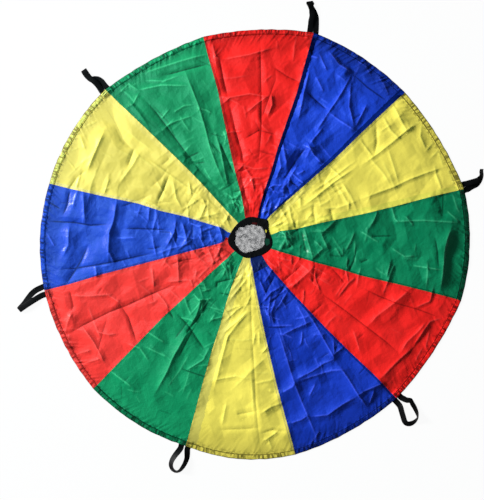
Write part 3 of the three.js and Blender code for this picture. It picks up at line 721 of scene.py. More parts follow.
def cloth_shape(x, y):
    """Height of the cloth's upper side over the floor at the places x, y, and the pressed lines there."""
    x = np.asarray(x, float)
    y = np.asarray(y, float)
    r, k, share, from_hem, turn = polar_place(x, y)
    nearer = np.minimum(share, 1 - share)
    from_seam = nearer * PANEL_ANGLE * r
    out_of_vent = fade((r - VENT_EDGE) / VENT_RAMP)
    body = out_of_vent * fade((from_hem - HEM_EDGE) / HEM_RAMP)
    neighbour = CRUMPLE[np.where(share < 0.5, k - 1, (k + 1) % PANELS)]
    crumple = body * (neighbour * (0.5 - nearer) + CRUMPLE[k] * (0.5 + nearer))

    height = LEAST_LIFT + VENT_LIFT * (1 - out_of_vent)
    height = height + BODY_LIFT * out_of_vent * fade((from_hem - HEM_EDGE) / LIFT_RAMP)
    lines = np.zeros(x.shape)
    for creases, strength in ((drawn_creases, 0.25 + 0.75 * body), (wrinkles, crumple)):
        for made in creases:
            raised, line = crease(x, y, *made)
            height = height + raised * strength
            lines = np.where(np.abs(line) > np.abs(lines), line, lines)
    height += body * SWELL_RISE * swell(x, y, SWELL_PITCH, 51)
    for rise, pitch, seed in FACETS:
        height += crumple * rise * MM * facets(x, y, pitch, seed, 0.2)
    height += crumple * (0.2 + 0.4 * fade((0.55 - r) / 0.4)) * MM * folded(x, y, 0.023, 41)

    pleated = fade((PLEATS_END - r) / 0.24) * out_of_vent
    for rise, stretch, pitch, seed in PLEATS:
        outwards = np.log(np.maximum(r, 0.05)) * stretch
        height += pleated * rise * MM * facets(turn * PLEAT_RADIUS, outwards, pitch, seed)
    gathered = CRUMPLE[k] * fade((from_hem + 4 * MM) / 0.016)
    gathered = gathered * np.exp(-np.maximum(from_hem - HEM_WIDTH, 0) / GATHER_REACH)
    for rise, slant, stretch, pitch, seed in GATHERS:
        round_hem = turn * SPREAD_RADIUS + slant * from_hem
        height += gathered * rise * MM * facets(round_hem, from_hem * stretch, pitch, seed)
    puckered = np.exp(-from_seam / PUCKER_REACH) * body
    height += puckered * PUCKER_RISE * facets(r + 0.5 * from_seam, k * 0.4 + from_seam * 0.4, 0.013, 91)
    height += SEAM_RISE * np.exp(-((from_seam / SEAM_HALF) ** 2)) * (0.3 + 0.7 * body)

    over = height - LEAST_LIFT
    height = LEAST_LIFT + 0.5 * (over + np.sqrt(over**2 + SOFT_LIMIT**2))
    for root, out, across in loop_roots:
        aside = (x - root.x) * across.x + (y - root.y) * across.y
        inwards = -(x - root.x) * out.x - (y - root.y) * out.y
        flank = fade((STRAP_WIDTH / 2 + 5 * MM - np.abs(aside)) / (6 * MM))
        lump = flank * fade((TAIL_LENGTH + 7 * MM - inwards) / (9 * MM)) * (inwards > -0.03)
        height = np.maximum(height, height * (1 - lump) + lump * (height * 0.4 + TAIL_RISE))
    return height, lines


def on_cloth(x, y, lift=0.0):
    """The places x, y with their height, lift over the cloth."""
    return np.column_stack([x, y, cloth_shape(x, y)[0] + lift])


sample = np.linspace(0.1, 0.88, 7)
print("height along 3 o'clock, mm:", np.round(on_cloth(sample, sample * 0.05)[:, 2] / MM, 1))


# %% [markdown]
# ## Finishes
#
# Four dyed taffetas, black webbing, black net and thread. Taffeta is a plain weave with a slight sheen:
# its colour barely changes, but every facet catches the light, so the finish needs a low, even roughness
# and a very fine bump. An image of cloth would repeat and blur, so everything is made by nodes from the
# place on the cloth. The weave follows the mesh's own map, which is in metres, and each panel's mesh also
# carries what the paint needs to know: the distance from the hem and from the seams, and where the cloth
# was pressed.

# %% Helpers for node trees


class Nodes:
    """A node tree with short calls, each of which adds one node and hands back its output."""

    def __init__(self, tree):
        self.tree = tree

    def feed(self, node, inputs):
        """Gives a node its inputs: a plain value, or another node's output to link."""
        for key, value in inputs.items():
            if isinstance(value, bpy.types.NodeSocket):
                self.tree.links.new(value, node.inputs[key])
            else:
                node.inputs[key].default_value = value

    def add(self, kind, inputs=None, output=0, **settings):
        node = self.tree.nodes.new(kind)
        for key, value in settings.items():
            setattr(node, key, value)
        self.feed(node, inputs or {})
        return node.outputs[output] if node.outputs else node

    def maths(self, operation, *values):
        return self.add("ShaderNodeMath", dict(enumerate(values)), operation=operation)

    def vectors(self, operation, inputs):
        return self.add("ShaderNodeVectorMath", inputs, operation=operation)

    def noise(self, scale, detail, output="Fac", **inputs):
        return self.add("ShaderNodeTexNoise", {"Scale": scale, "Detail": detail, **inputs}, output)

    def wave(self, scale, way, **inputs):
        return self.add("ShaderNodeTexWave", {"Scale": scale, **inputs}, "Fac", bands_direction=way)

    def spread(self, value, low, high, to_low=0.0, to_high=1.0):
        """What runs from low to high then runs from to_low to to_high, and stays there beyond."""
        inputs = {"Value": value, "From Min": low, "From Max": high, "To Min": to_low, "To Max": to_high}
        return self.add("ShaderNodeMapRange", inputs)

    def vector(self, **parts):
        return self.add("ShaderNodeCombineXYZ", parts)

    def measure(self, name):
        """What the mesh carries under this name."""
        return self.add("ShaderNodeAttribute", None, "Fac", attribute_name=name)

    def mixed(self, factor, first, second):
        """A mix of two colours, which are inputs 6 and 7 of a Mix node, with the result in output 2."""
        return self.add("ShaderNodeMix", {0: factor, 6: first, 7: second}, 2, data_type="RGBA")

    def bump(self, height, distance, strength=1.0, **inputs):
        inputs.update(Height=height, Distance=distance, Strength=strength)
        return self.add("ShaderNodeBump", inputs)


def emptied(owner):
    """The nodes of a material or a world, with none in it yet."""
    owner.use_nodes = True
    owner.node_tree.nodes.clear()
    return Nodes(owner.node_tree)


def new_finish(name):
    """A material, its nodes, and the Principled shader that is its only one so far."""
    finish = bpy.data.materials.new(name)
    nodes = emptied(finish)
    shader = nodes.add("ShaderNodeBsdfPrincipled")
    nodes.add("ShaderNodeOutputMaterial", {"Surface": shader})
    return finish, nodes, shader.node


def shade_of(colour, factor, lift=0.0):
    """A colour made lighter, darker or, with a factor of three parts, another tint."""
    return (*(min(1.0, float(part)) for part in np.multiply(colour[:3], factor) + lift), 1.0)


# %% [markdown]
# ## Painted shade along the seams, dyes and hems
#
# Along some seams a strip of each panel is painted darker: painted shade where a fold lies beside the seam,
# and where the cloth is doubled and light no longer comes through it from the floor, with the other panel's
# colour showing through a little. A few strips are painted paler, as a painted sheen. How wide such a strip
# lies differs from seam to seam, so the strips are listed. So are two small patches at the vent: a painted
# shade, and a neighbour's cloth tucked over a panel. Five panels carry a painted sheen in their dye and two
# a painted shade, and each hem shows its turned edge as a band painted lighter on the panels lit from the
# left and darker on the others, with thread and painted shade along the line where the fold ends.

# %% Strips of painted shade and painted sheen along the seams
# (panel, which of its seams): (width near the vent and near the hem in mm, what the strip does to the dye)
SEAM_SHADE_STRIPS = {
    (0, "first"): (24, 7, (0.62, 1.0, 1.0)),
    (0, "next"): (7, 10, (0.72, 1.0, 1.0)),
    (1, "first"): (12, 20, (0.10, 0.10, 0.10)),
    (1, "next"): (7, 23, (0.40, 0.33, 0.30)),
    (2, "first"): (34, 6, (0.74, 0.76, 0.90)),
    (2, "next"): (30, 21, (0.82, 0.89, 0.85)),
    (3, "next"): (8, 8, (0.60, 0.60, 0.60)),
    (5, "first"): (9, 10, (0.50, 0.45, 0.45)),
    (5, "next"): (22, 17, (0.75, 0.72, 0.68)),
    (6, "first"): (9, 12, (0.68, 0.70, 1.10)),
    (6, "next"): (28, 43, (0.72, 0.75, 1.00)),
    (8, "next"): (14, 18, (0.93, 1.30, 1.30)),
    (9, "first"): (7, 8, (0.60, 0.55, 0.60)),
    (10, "first"): (9, 13, (0.92, 0.95, 1.60)),
    (10, "next"): (18, 26, (0.97, 0.98, 1.15)),
    (11, "first"): (40, 45, (1.0, 0.80, 0.82)),
}

# %% Dyes with painted sheen and shade, patches and hems
DYES = {
    "red": (1.0, 0.017, 0.014),
    "blue": (0.006, 0.052, 0.60),
    "yellow": (0.95, 0.79, 0.115),
    "green": (0.003, 0.28, 0.108),
}
# What to multiply some panels' dye by: a painted sheen on panels 1 and 8 to 11, a painted shade on
# panels 3 and 5, and a slight change on panel 4
DYE_LOTS_SHEEN_AND_SHADE = {
    1: (1.4, 1.0, 0.95),
    3: (0.15, 0.76, 0.82),
    4: (1.00, 0.98, 0.98),
    5: (1.0, 0.76, 0.80),
    8: (1.0, 2.6, 2.6),
    9: (2.0, 1.25, 0.90),
    10: (0.92, 0.91, 1.10),
    11: (2.6, 1.06, 1.04),
}
# Patches near the vent: a painted shade on panel 5, and a neighbour's red cloth tucked over panel 9:
# (outline in centimetres, colour)
TUCK_AND_SHADE_PATCHES = {
    5: ([(0.0, -7.0), (5.8, -7.0), (7.6, -12.0), (1.6, -15.2)], (0.002, 0.010, 0.085, 1)),
    9: ([(-11.4, -2.0), (-10.3, 0.3), (-8.6, -0.3), (-8.6, -3.0)], (0.55, 0.012, 0.014, 1)),
}
# For each panel from 12 on, how light beside the dye are the hem's band, its inner line and the cloth
# inside.
# All are painted light and shade: bands lighter on the panels lit from the left and darker on the others,
# painted shade with the thread in the line's groove, and painted shade over the cloth inside the hem.
HEM_LIGHT_AND_SHADE = [
    (1.12, 0.45, 0.72),
    (0.60, 0.18, 0.45),
    (0.82, 0.14, 1.00),
    (0.26, 0.08, 0.78),
    (1.00, 0.18, 1.00),
    (0.52, 0.20, 0.78),
    (0.82, 0.18, 0.66),
    (0.80, 0.20, 1.00),
    (1.40, 0.70, 0.88),
    (1.36, 0.95, 0.82),
    (1.65, 1.00, 0.88),
    (1.45, 0.70, 0.88),
]
# Painted shade falls on the cloth inside the hem from here outwards
SHADED_IN = 110 * MM  # the cloth inside the hem is shaded from here outwards


def depth_inside(x, y, outline):
    """How deep x, y lie inside a convex outline that runs clockwise, in metres. Outside it is negative."""
    corners = np.array(outline) * CM
    depth = np.full(x.shape, np.inf)
    for (ax, ay), (bx, by) in zip(corners, np.roll(corners, -1, axis=0)):
        length = math.hypot(bx - ax, by - ay)
        depth = np.minimum(depth, ((bx - ax) * (ay - y) - (by - ay) * (ax - x)) / length)
    return depth


# %% Taffeta in one dye
CLOTH_ROUGHNESS = 0.36
CLOTH_SHINE = 0.27
WEAVE_PITCH = 0.45 * MM
WEAVE_DEPTH = 0.03 * MM
CRINKLE_DEPTH = 0.5 * MM
RIDGE_DEPTH = 0.12 * MM
# On the crease lines: a painted highlight on ridges, partly standing for worn coating, and a painted shade
# in valleys
RIDGE_HIGHLIGHT_AND_WEAR = 0.55
VALLEY_SHADE = 0.6
# How crisp the small creases look in each dye, in their bump and their painted highlight and shade. Light
# that soaks through the pale yellow cloth softens them
CRISPNESS = {"red": 1.6, "blue": 2.6, "yellow": 0.4, "green": 2.4}
HALF_WAVE = 0.16  # m; half the length of a wave in a wave texture of scale 1
# The hem's inner line is black thread with painted shade in the fold's groove beside it
LINE_IN = 20.3 * MM  # the hem's inner line: how far in from the edge, and half how wide
LINE_HALF = 1.9 * MM
# How wide the painted shadow under the hem's outer edge is
EDGE_SHADE_WIDTH = 2.6 * MM
# Spots of painted shade between the gathers start, are strongest and end at these distances from the
# hem's edge
GATHER_SHADE_START = 13 * MM
GATHER_SHADE_MOST = 21 * MM
GATHER_SHADE_END = 42 * MM


def cloth_colour_and_shade(k, dye_and_painted_light, crisp, nodes, at, drift):
    """The colour of panel k without its hem, with painted highlight and shade on its creases, painted strips
    along its seams and its patch near the vent, and where its strips of painted shade are too dark to shine.
    """
    cloudy = nodes.spread(nodes.noise(9, 4, Vector=at), 0.3, 0.7)
    base = nodes.mixed(cloudy, shade_of(dye_and_painted_light, 0.86), shade_of(dye_and_painted_light, 1.05, 0.004))
    pressed = nodes.measure("pressed")
    ridge = nodes.maths("MULTIPLY", nodes.maths("MAXIMUM", pressed, 0.0), RIDGE_HIGHLIGHT_AND_WEAR * crisp)
    valley = nodes.maths("MULTIPLY", nodes.maths("MINIMUM", pressed, 0.0), -VALLEY_SHADE * crisp)
    # A painted highlight on the ridges, partly standing for worn coating, and a painted shade in the valleys
    base = nodes.mixed(ridge, base, shade_of(dye_and_painted_light, 1.5, 0.03))
    base = nodes.mixed(valley, base, shade_of(dye_and_painted_light, 0.35))
    shaded_strips = []
    # Strips of painted shade, for folds beside the seams and for doubled cloth, and a few of painted sheen
    for (panel, seam), (_, _, tint) in SEAM_SHADE_STRIPS.items():
        if panel == k:
            across = nodes.maths("ADD", nodes.measure(f"strip_{seam}"), drift)
            in_painted_strip = nodes.maths("LESS_THAN", across, 1.0)
            base = nodes.mixed(in_painted_strip, base, shade_of(dye_and_painted_light, tint))
            shaded_strips += [in_painted_strip] if max(tint) < 0.5 else []
    # Panel 5's patch is a painted shade; panel 9's is a neighbour's red cloth tucked over it
    if k in TUCK_AND_SHADE_PATCHES:
        base = nodes.mixed(nodes.maths("GREATER_THAN", nodes.measure("tuck_and_shade"), 0.0), base, TUCK_AND_SHADE_PATCHES[k][1])
    return base, shaded_strips


def hemmed(base, k, dye_and_painted_light, nodes, at, drift):
    """The colour with the hem of panel k: painted shade inside it, its band in painted light and shade,
    strokes and blotches of painted shade, its inner line with painted shade, and a painted shadow at its
    edge.
    """
    maths = nodes.maths
    band, line, beside = HEM_LIGHT_AND_SHADE[k]
    hem = nodes.measure("from_hem")
    # Painted shade over the cloth inside the hem
    near_hem = maths("MULTIPLY", nodes.spread(hem, SHADED_IN, HEM_WIDTH), 1 - beside)
    base = nodes.vectors("SCALE", {0: base, "Scale": maths("SUBTRACT", 1.0, near_hem)})

    # The turned band, painted lighter on the panels lit from the left and darker on the others
    speckle = nodes.spread(nodes.noise(100, 3, Vector=at, Distortion=0.8), 0.42, 0.58)
    light_band = shade_of(dye_and_painted_light, band)
    turned = maths("LESS_THAN", hem, HEM_WIDTH)
    base = nodes.mixed(turned, base, nodes.mixed(speckle, shade_of(light_band, 0.66), light_band))

    # Short strokes of painted shade across the band, in some stretches of it, are the creases between its
    # stitches
    placed = nodes.vector(X=nodes.measure("round_hem"), Y=maths("MULTIPLY", hem, 0.14))
    strokes = nodes.spread(nodes.noise(95, 1, Vector=placed), 0.48, 0.53)
    stretches = nodes.spread(nodes.noise(13, 1, Vector=placed), 0.38, 0.50)
    stroke_shade = maths("MULTIPLY", turned, maths("MULTIPLY", strokes, stretches))
    base = nodes.mixed(stroke_shade, base, shade_of(dye_and_painted_light, 0.25 * band))

    # Spots of painted shade between the gathers
    rising = nodes.spread(hem, GATHER_SHADE_START, GATHER_SHADE_MOST)
    around = maths("MULTIPLY", rising, nodes.spread(hem, GATHER_SHADE_END, GATHER_SHADE_MOST))
    gather_shade = nodes.spread(nodes.noise(75, 2, Vector=at, Distortion=0.8), 0.48, 0.60)
    base = nodes.mixed(maths("MULTIPLY", around, gather_shade), base, shade_of(dye_and_painted_light, 0.34))

    # The inner line: thread with painted shade in the fold's groove. The outer edge: a painted shadow under
    # it
    off_line = maths("ABSOLUTE", maths("SUBTRACT", hem, LINE_IN))
    hem_line_shade = maths("LESS_THAN", maths("ADD", off_line, maths("MULTIPLY", drift, 0.008)), LINE_HALF)
    edge_shade = maths("LESS_THAN", hem, EDGE_SHADE_WIDTH)
    base = nodes.mixed(hem_line_shade, base, shade_of(dye_and_painted_light, line))
    return nodes.mixed(edge_shade, base, shade_of(dye_and_painted_light, 0.16)), [edge_shade, hem_line_shade]


def taffeta(k):
    """The finish of panel k: its own colour, with a painted sheen on some panels and a painted shade on
    others, painted strips along its seams, hem, weave and crinkle.
    """
    colour = COLOURS[k % len(COLOURS)]
    # Some panels' dye is multiplied by a painted sheen, two of them by a painted shade
    dye_and_painted_light = shade_of(DYES[colour], DYE_LOTS_SHEEN_AND_SHADE.get(k, 1))
    crisp = CRISPNESS[colour]
    finish, nodes, shader = new_finish(f"taffeta_{colour}_{hour(k)}")
    maths = nodes.maths
    at = nodes.add("ShaderNodeUVMap", uv_map="cloth")
    drift = maths("MULTIPLY", maths("SUBTRACT", nodes.noise(60, 2, Vector=at), 0.5), 0.5)
    base, shaded_strips = cloth_colour_and_shade(k, dye_and_painted_light, crisp, nodes, at, drift)
    base, dark_lines = hemmed(base, k, dye_and_painted_light, nodes, at, drift)
    shine = CLOTH_SHINE
    for dark in shaded_strips + dark_lines:
        shine = maths("MULTIPLY", shine, maths("SUBTRACT", 1.0, dark))
    rough = nodes.spread(nodes.noise(40, 3, Vector=at), 0, 1, CLOTH_ROUGHNESS - 0.06, CLOTH_ROUGHNESS + 0.06)

    crinkle = nodes.bump(nodes.noise(160, 5, Vector=at), CRINKLE_DEPTH * crisp, 0.5)
    ridged = {"Vector": at, "Scale": 34, "Detail": 2, "Offset": 1, "Gain": 1, "Distortion": 0.3}
    ridges = nodes.add("ShaderNodeTexNoise", ridged, noise_type="RIDGED_MULTIFRACTAL")
    crumpled = nodes.bump(ridges, RIDGE_DEPTH * crisp, Normal=crinkle)
    warp, weft = (nodes.wave(HALF_WAVE / WEAVE_PITCH, way, Vector=at) for way in "XY")
    woven = nodes.bump(maths("MULTIPLY", warp, weft), WEAVE_DEPTH, 0.4, Normal=crumpled)
    look = {"Base Color": base, "Roughness": rough, "Specular IOR Level": shine, "Normal": woven}
    nodes.feed(shader, look)
    return finish


# %% [markdown]
# ## The panels
#
# A panel is a wedge of cloth with its outer edge turned over twice. It could be a flat grid with a
# Displace modifier, but a wedge narrows to almost nothing, and a grid with the same number of columns
# everywhere would waste most of its points near the vent. Here every row has as many points as its width
# needs, and two rows of different counts are zipped together with triangles. Rows follow the hem closely
# where the cloth is folded over, so the hem's step and its rounded edge are real shapes. The underside is
# the same mesh again, one cloth thickness lower, so that each panel is a closed thin body.

# %% Zip two rows of points together


def zip_rows(near, far):
    """Triangles between two rows of point numbers that run the same way. The near row is the inner one."""
    faces = []
    i = 0
    j = 0
    while i < len(near) - 1 or j < len(far) - 1:
        if (j + 1) / (len(far) - 1) <= (i + 1) / (len(near) - 1):
            faces.append((near[i], far[j + 1], far[j]))
            j += 1
        else:
            faces.append((near[i], near[i + 1], far[j]))
            i += 1
    return faces


# %% The rows of a panel, with the hem's fold
CELL = 3.3 * MM
HEM_WAVER = 1.6 * MM
# (distance from the hem's edge, extra height there), in millimetres
HEM_PROFILE = [
    (23.0, 0.0),
    (21.2, 0.2),
    (20.4, 1.2),
    (19.4, 0.9),
    (18.0, 1.5),
    (15.0, 1.9),
    (11.0, 1.7),
    (7.0, 2.0),
    (3.0, 2.2),
    (1.0, 1.5),
    (0.0, 0.4),
]


def panel_rows(k):
    """Rows of panel k from vent to hem: x, y, share across, distance from the hem, and extra height."""
    mean_reach = float(np.mean(hem_reach(k, np.linspace(0, 1, 9))))
    fold_in = HEM_PROFILE[0][0] * MM
    free = mean_reach - PANEL_START - fold_in
    count = int(free / CELL)
    offsets = [(fold_in + free * (1 - i / count), 0.0) for i in range(count)]
    offsets += [(distance * MM, extra * MM) for distance, extra in HEM_PROFILE]
    rows = []
    for offset, extra in offsets:
        share_in = offset / (mean_reach - PANEL_START)
        width = (mean_reach - offset) * PANEL_ANGLE
        f = np.linspace(0, 1, max(6, int(round(width / CELL))) + 1)
        reach = hem_reach(k, f)
        turn = np.radians(BEARINGS[0]) - bearing_at(k, f)
        waver = HEM_WAVER * facets(turn * SPREAD_RADIUS, 0 * turn, 0.034, 101) * fade(1 - share_in * 12)
        r = reach - (reach - PANEL_START) * share_in
        bearing = bearing_at(k, f, r)
        r = r + waver * np.sin(math.pi * f) ** 0.3
        rows.append(np.array([*from_polar(r, bearing), f, reach - r, np.full(f.shape, extra)]))
    return rows


def shape_object(name, points, edges, faces, finish=None):
    """An object made of these points, edges and faces."""
    mesh = bpy.data.meshes.new(name)
    mesh.from_pydata([tuple(p) for p in points], edges, faces)
    mesh.update()
    mesh.shade_smooth()
    made = bpy.data.objects.new(name, mesh)
    bpy.context.scene.collection.objects.link(made)
    if finish:
        mesh.materials.append(finish)
    return made


def add_map(mesh, places):
    """A UV map named cloth that holds each vertex's own place in metres."""
    layer = mesh.uv_layers.new(name="cloth")
    corners = np.empty(len(mesh.loops), int)
    mesh.loops.foreach_get("vertex_index", corners)
    layer.data.foreach_set("uv", np.asarray(places, np.float32)[corners].ravel())


def add_measure(mesh, name, values):
    mesh.attributes.new(name, "FLOAT", "POINT").data.foreach_set("value", np.asarray(values, np.float32))


# %% Make the twelve panels
RIM_ANGLE = math.radians(60)
# A painted strip along a seam changes from its width at the vent to its width at the hem from here, over
# this length
SEAM_SHADE_FROM = 100 * MM
SEAM_SHADE_OVER = 750 * MM


def make_panel(k):
    rows = panel_rows(k)
    starts = np.cumsum([0] + [row.shape[1] for row in rows])
    x, y, f, from_hem, extra = np.concatenate(rows, axis=1)
    height, lines = cloth_shape(x, y)
    count = len(x)
    numbers = [list(range(start, end)) for start, end in zip(starts, starts[1:])]
    faces = [face for near, far in zip(numbers, numbers[1:]) for face in zip_rows(near, far)]
    faces += [(a + count, c + count, b + count) for a, b, c in faces]
    rim = numbers[0] + [row[-1] for row in numbers[1:]]
    rim += numbers[-1][-2::-1] + [row[0] for row in numbers[-2:0:-1]]
    faces += [(a + count, b + count, b, a) for a, b in zip(rim, rim[1:] + rim[:1])]
    points = [np.column_stack([x, y, height + extra]), np.column_stack([x, y, height - CLOTH])]
    made = shape_object(f"cloth_{panel_name(k)}", np.concatenate(points), [], faces, taffeta(k))
    mesh = made.data
    mesh.set_sharp_from_angle(angle=RIM_ANGLE)
    add_map(mesh, np.tile(np.column_stack([x, y]), (2, 1)))

    r = np.hypot(x, y)
    angle = seam_bearing(k, r) - seam_bearing(k + 1, r)
    out = np.clip((r - SEAM_SHADE_FROM) / SEAM_SHADE_OVER, 0, 1)
    measures = {"from_hem": from_hem, "round_hem": (k + f) * angle * SPREAD_RADIUS, "pressed": lines}
    # How far across its strip of painted shade or sheen along a seam each place lies
    for (panel, seam), (near, far, _) in SEAM_SHADE_STRIPS.items():
        if panel == k:
            from_seam = (f if seam == "first" else 1 - f) * angle * r
            measures[f"strip_{seam}"] = from_seam / ((near * (1 - out) + far * out) * MM)
    # How deep inside its patch each place lies: painted shade on panel 5, tucked cloth on panel 9
    if k in TUCK_AND_SHADE_PATCHES:
        measures["tuck_and_shade"] = depth_inside(x, y, TUCK_AND_SHADE_PATCHES[k][0])
    for name, values in measures.items():
        add_measure(mesh, name, np.tile(values, 2))
    return made


panels = [make_panel(k) for k in range(PANELS)]
counts = [len(piece.data.polygons) for piece in panels]
print("faces in a panel:", counts[0], "and in all:", sum(counts))
heights = [corner[2] for p in panels for corner in p.bound_box]
print(f"cloth from {min(heights) / MM:.1f} to {max(heights) / MM:.1f} mm over the floor")


# %% [markdown]
# ## The vent's tapes
#
# The panels' inner ends are caught between two rings of black tape. The ring could be a torus squashed
# flat, but sewn tape doesn't make a clean circle: it was eased round the vent in short straight lengths,
# so its two edges are uneven many-sided outlines. Both edges are drawn as corners in centimetres
# and rounded by cutting the corners off a few times. The ring is then laid on the cloth by asking the
# cloth for its height. Small ends of the panels that show beside the tape are painted on it, because they
# are thinner than the tape's own edge.

# %% Outlines of the upper tape
TAPE_OUTER = [
    *[(-10.0, -1.6), (-8.5, 2.2), (-5.5, 6.2), (-2.8, 8.2), (0.5, 9.3), (3.9, 8.5), (7.2, 8.2)],
    *[(8.0, 6.5), (7.7, 4.3), (8.4, 2.0), (9.8, -1.5), (9.1, -4.5), (5.6, -7.2), (2.9, -7.8)],
    *[(-0.2, -8.7), (-3.2, -8.3), (-7.4, -5.0)],
]
TAPE_INNER = [
    *[(-6.8, -1.5), (-6.1, 0.9), (-5.6, 3.4), (-4.3, 4.6), (-1.7, 5.0), (-0.6, 5.9), (2.9, 5.3)],
    *[(5.2, 5.1), (6.5, 4.0), (6.8, 1.6), (6.1, -0.9), (6.2, -3.2), (4.4, -4.6), (0.7, -5.7)],
    *[(-2.7, -6.7), (-5.1, -5.5), (-4.7, -4.0), (-6.3, -2.8)],
]
RING_STEPS = 300
FRAYED_TOWARDS = math.radians(140)


def radius_round(points, cuts=3):
    """A closed outline in centimetres, with its corners cut off, as a function from bearing to radius."""
    outline = np.array(points) * CM
    for _ in range(cuts):
        after = np.roll(outline, -1, axis=0)
        pairs = [0.75 * outline + 0.25 * after, 0.25 * outline + 0.75 * after]
        outline = np.stack(pairs, axis=1).reshape(-1, 2)
    x, y = outline.T
    return lambda turn: np.interp(turn, np.arctan2(y, x), np.hypot(x, y), period=2 * math.pi)


upper_outer = radius_round(TAPE_OUTER)
smooth_inner = radius_round(TAPE_INNER)


def upper_inner(turn):
    """The upper tape's inner edge, a little frayed."""
    frayed = 1.3 + 5.5 * np.exp(-(((turn - FRAYED_TOWARDS + math.pi) % (2 * math.pi) - math.pi) ** 2))
    return smooth_inner(turn) + frayed * MM * facets(turn * 0.06, 0 * turn, 0.006, 121)


turns = np.linspace(0, 2 * math.pi, RING_STEPS, endpoint=False)
print(f"upper tape from {upper_inner(turns).min() / MM:.0f} to {upper_outer(turns).max() / MM:.0f} mm out")

# %% Black webbing and tape
BLACK = (0.0015, 0.0015, 0.0018, 1)
BLACK_WORN = (0.005, 0.005, 0.006, 1)
ACROSS_HALF_WAVE = 0.11  # m; the same across the band. It is set lower, so the waves come out longer
BAND_SHINE = 0.08
# Where the panels' ends show beside the upper tape: (outline in centimetres, colour)
SHOWS = [
    ([(6.6, -0.2), (8.3, -0.4), (8.4, -2.4), (7.2, -3.4), (6.3, -2.0)], (0.004, 0.050, 0.028, 1)),
    ([(6.5, 3.6), (7.2, 3.4), (7.1, 2.3), (6.4, 2.4)], (0.60, 0.52, 0.05, 1)),
    ([(0.8, 6.6), (3.0, 6.6), (2.9, 5.6), (0.9, 5.7)], (0.055, 0.003, 0.004, 1)),
]


def woven_black(name, rib, depth, roughness, shows=()):
    """A black woven band with ribs across it, and patches of other cloth.

    Its map is in metres: across the band, then along it.
    """
    finish, nodes, shader = new_finish(name)
    maths = nodes.maths
    at = nodes.add("ShaderNodeUVMap", uv_map="cloth")
    along = nodes.wave(HALF_WAVE / rib, "Y", Vector=at, Distortion=0.6)
    ribs = maths("MULTIPLY", along, nodes.wave(ACROSS_HALF_WAVE / rib, "X", Vector=at, Distortion=0.3))
    worn = maths("MULTIPLY", maths("MULTIPLY", ribs, nodes.noise(60, 3, Vector=at)), 0.9)
    base = nodes.mixed(worn, BLACK, BLACK_WORN)
    for number, (_, colour) in enumerate(shows):
        inside = maths("GREATER_THAN", nodes.measure(f"show_{number}"), 0.0)
        base = nodes.mixed(inside, base, colour)
    height = maths("ADD", ribs, maths("MULTIPLY", nodes.noise(900, 2, Vector=at), 0.35))
    look = {"Base Color": base, "Normal": nodes.bump(height, depth, 0.8)}
    nodes.feed(shader, {**look, "Roughness": roughness, "Specular IOR Level": BAND_SHINE})
    return finish


tape_finish = woven_black("black_tape", 0.9 * MM, 0.12 * MM, 0.62)
upper_finish = woven_black("black_upper_tape", 0.9 * MM, 0.12 * MM, 0.62, SHOWS)
webbing_finish = woven_black("black_webbing", 1.5 * MM, 0.3 * MM, 0.5)

# %% Lay a ring of tape
TAPE_THICKNESS = 1.0 * MM
TAPE_COLUMNS = 12
TAPE_EDGE_SOFT = 0.14  # share of the width over which the tape's edge rounds off
TAPE_MIDDLE = 76.5 * MM
UPPER_LIFT = 0.25 * MM


def tape_ring(name, inner, outer, lowest, waves, finish):
    """A closed ring of tape between two outlines, with its underside at the height that lowest gives."""
    turn = np.repeat(turns, TAPE_COLUMNS)
    s = np.tile(np.linspace(0, 1, TAPE_COLUMNS), RING_STEPS)
    r = inner(turn) * (1 - s) + outer(turn) * s
    x, y = from_polar(r, turn)
    thin = np.sqrt(1 - (1 - np.minimum(s, 1 - s) / TAPE_EDGE_SOFT).clip(0, 1) ** 2)
    under = lowest(x, y) + waves * (0.5 + 0.5 * facets(turn * 0.08, s * 0.012, 0.007, 111))
    top = under + TAPE_THICKNESS * (0.35 + 0.65 * thin)
    count = len(x)
    last = TAPE_COLUMNS - 1
    faces = []
    for i in range(RING_STEPS):
        a = i * TAPE_COLUMNS
        b = (i + 1) % RING_STEPS * TAPE_COLUMNS
        for j in range(last):
            faces.append((a + j, a + j + 1, b + j + 1, b + j))
            faces.append((count + a + j, count + b + j, count + b + j + 1, count + a + j + 1))
        faces.append((a, b, count + b, count + a))
        faces.append((b + last, a + last, count + a + last, count + b + last))
    points = np.concatenate([np.column_stack([x, y, top]), np.column_stack([x, y, under])])
    made = shape_object(name, points, [], faces, finish)
    add_map(made.data, np.tile(np.column_stack([s * TAPE_WIDTH, turn * TAPE_MIDDLE]), (2, 1)))
    return made


under_tape = tape_ring(
    "vent_tape_lower",
    lambda turn: VENT_RADIUS + 2.5 * MM,
    lambda turn: VENT_RADIUS + TAPE_WIDTH - 2 * MM,
    lambda x, y: 0.0,
    0.15 * MM,
    tape_finish,
)
upper_tape = tape_ring(
    "vent_tape_upper",
    upper_inner,
    upper_outer,
    lambda x, y: on_cloth(x, y, UPPER_LIFT)[:, 2],
    0.9 * MM,
    upper_finish,
)
tape_places = np.array([v.co[:2] for v in upper_tape.data.vertices])
for number, (outline, _) in enumerate(SHOWS):
    add_measure(upper_tape.data, f"show_{number}", depth_inside(*tape_places.T, outline))
print("points in a tape:", len(upper_tape.data.vertices))


# %% [markdown]
# ## Geometry Nodes for what repeats
#
# The net's strands and several thousand stitches are all alike, so they are made by node trees and not by
# hand. A tree has named inputs for its sizes, and ends by making its instances real and giving them a
# finish. The result is then turned into a plain mesh, so that it is ordinary geometry.

# %% Start, end and run a tree


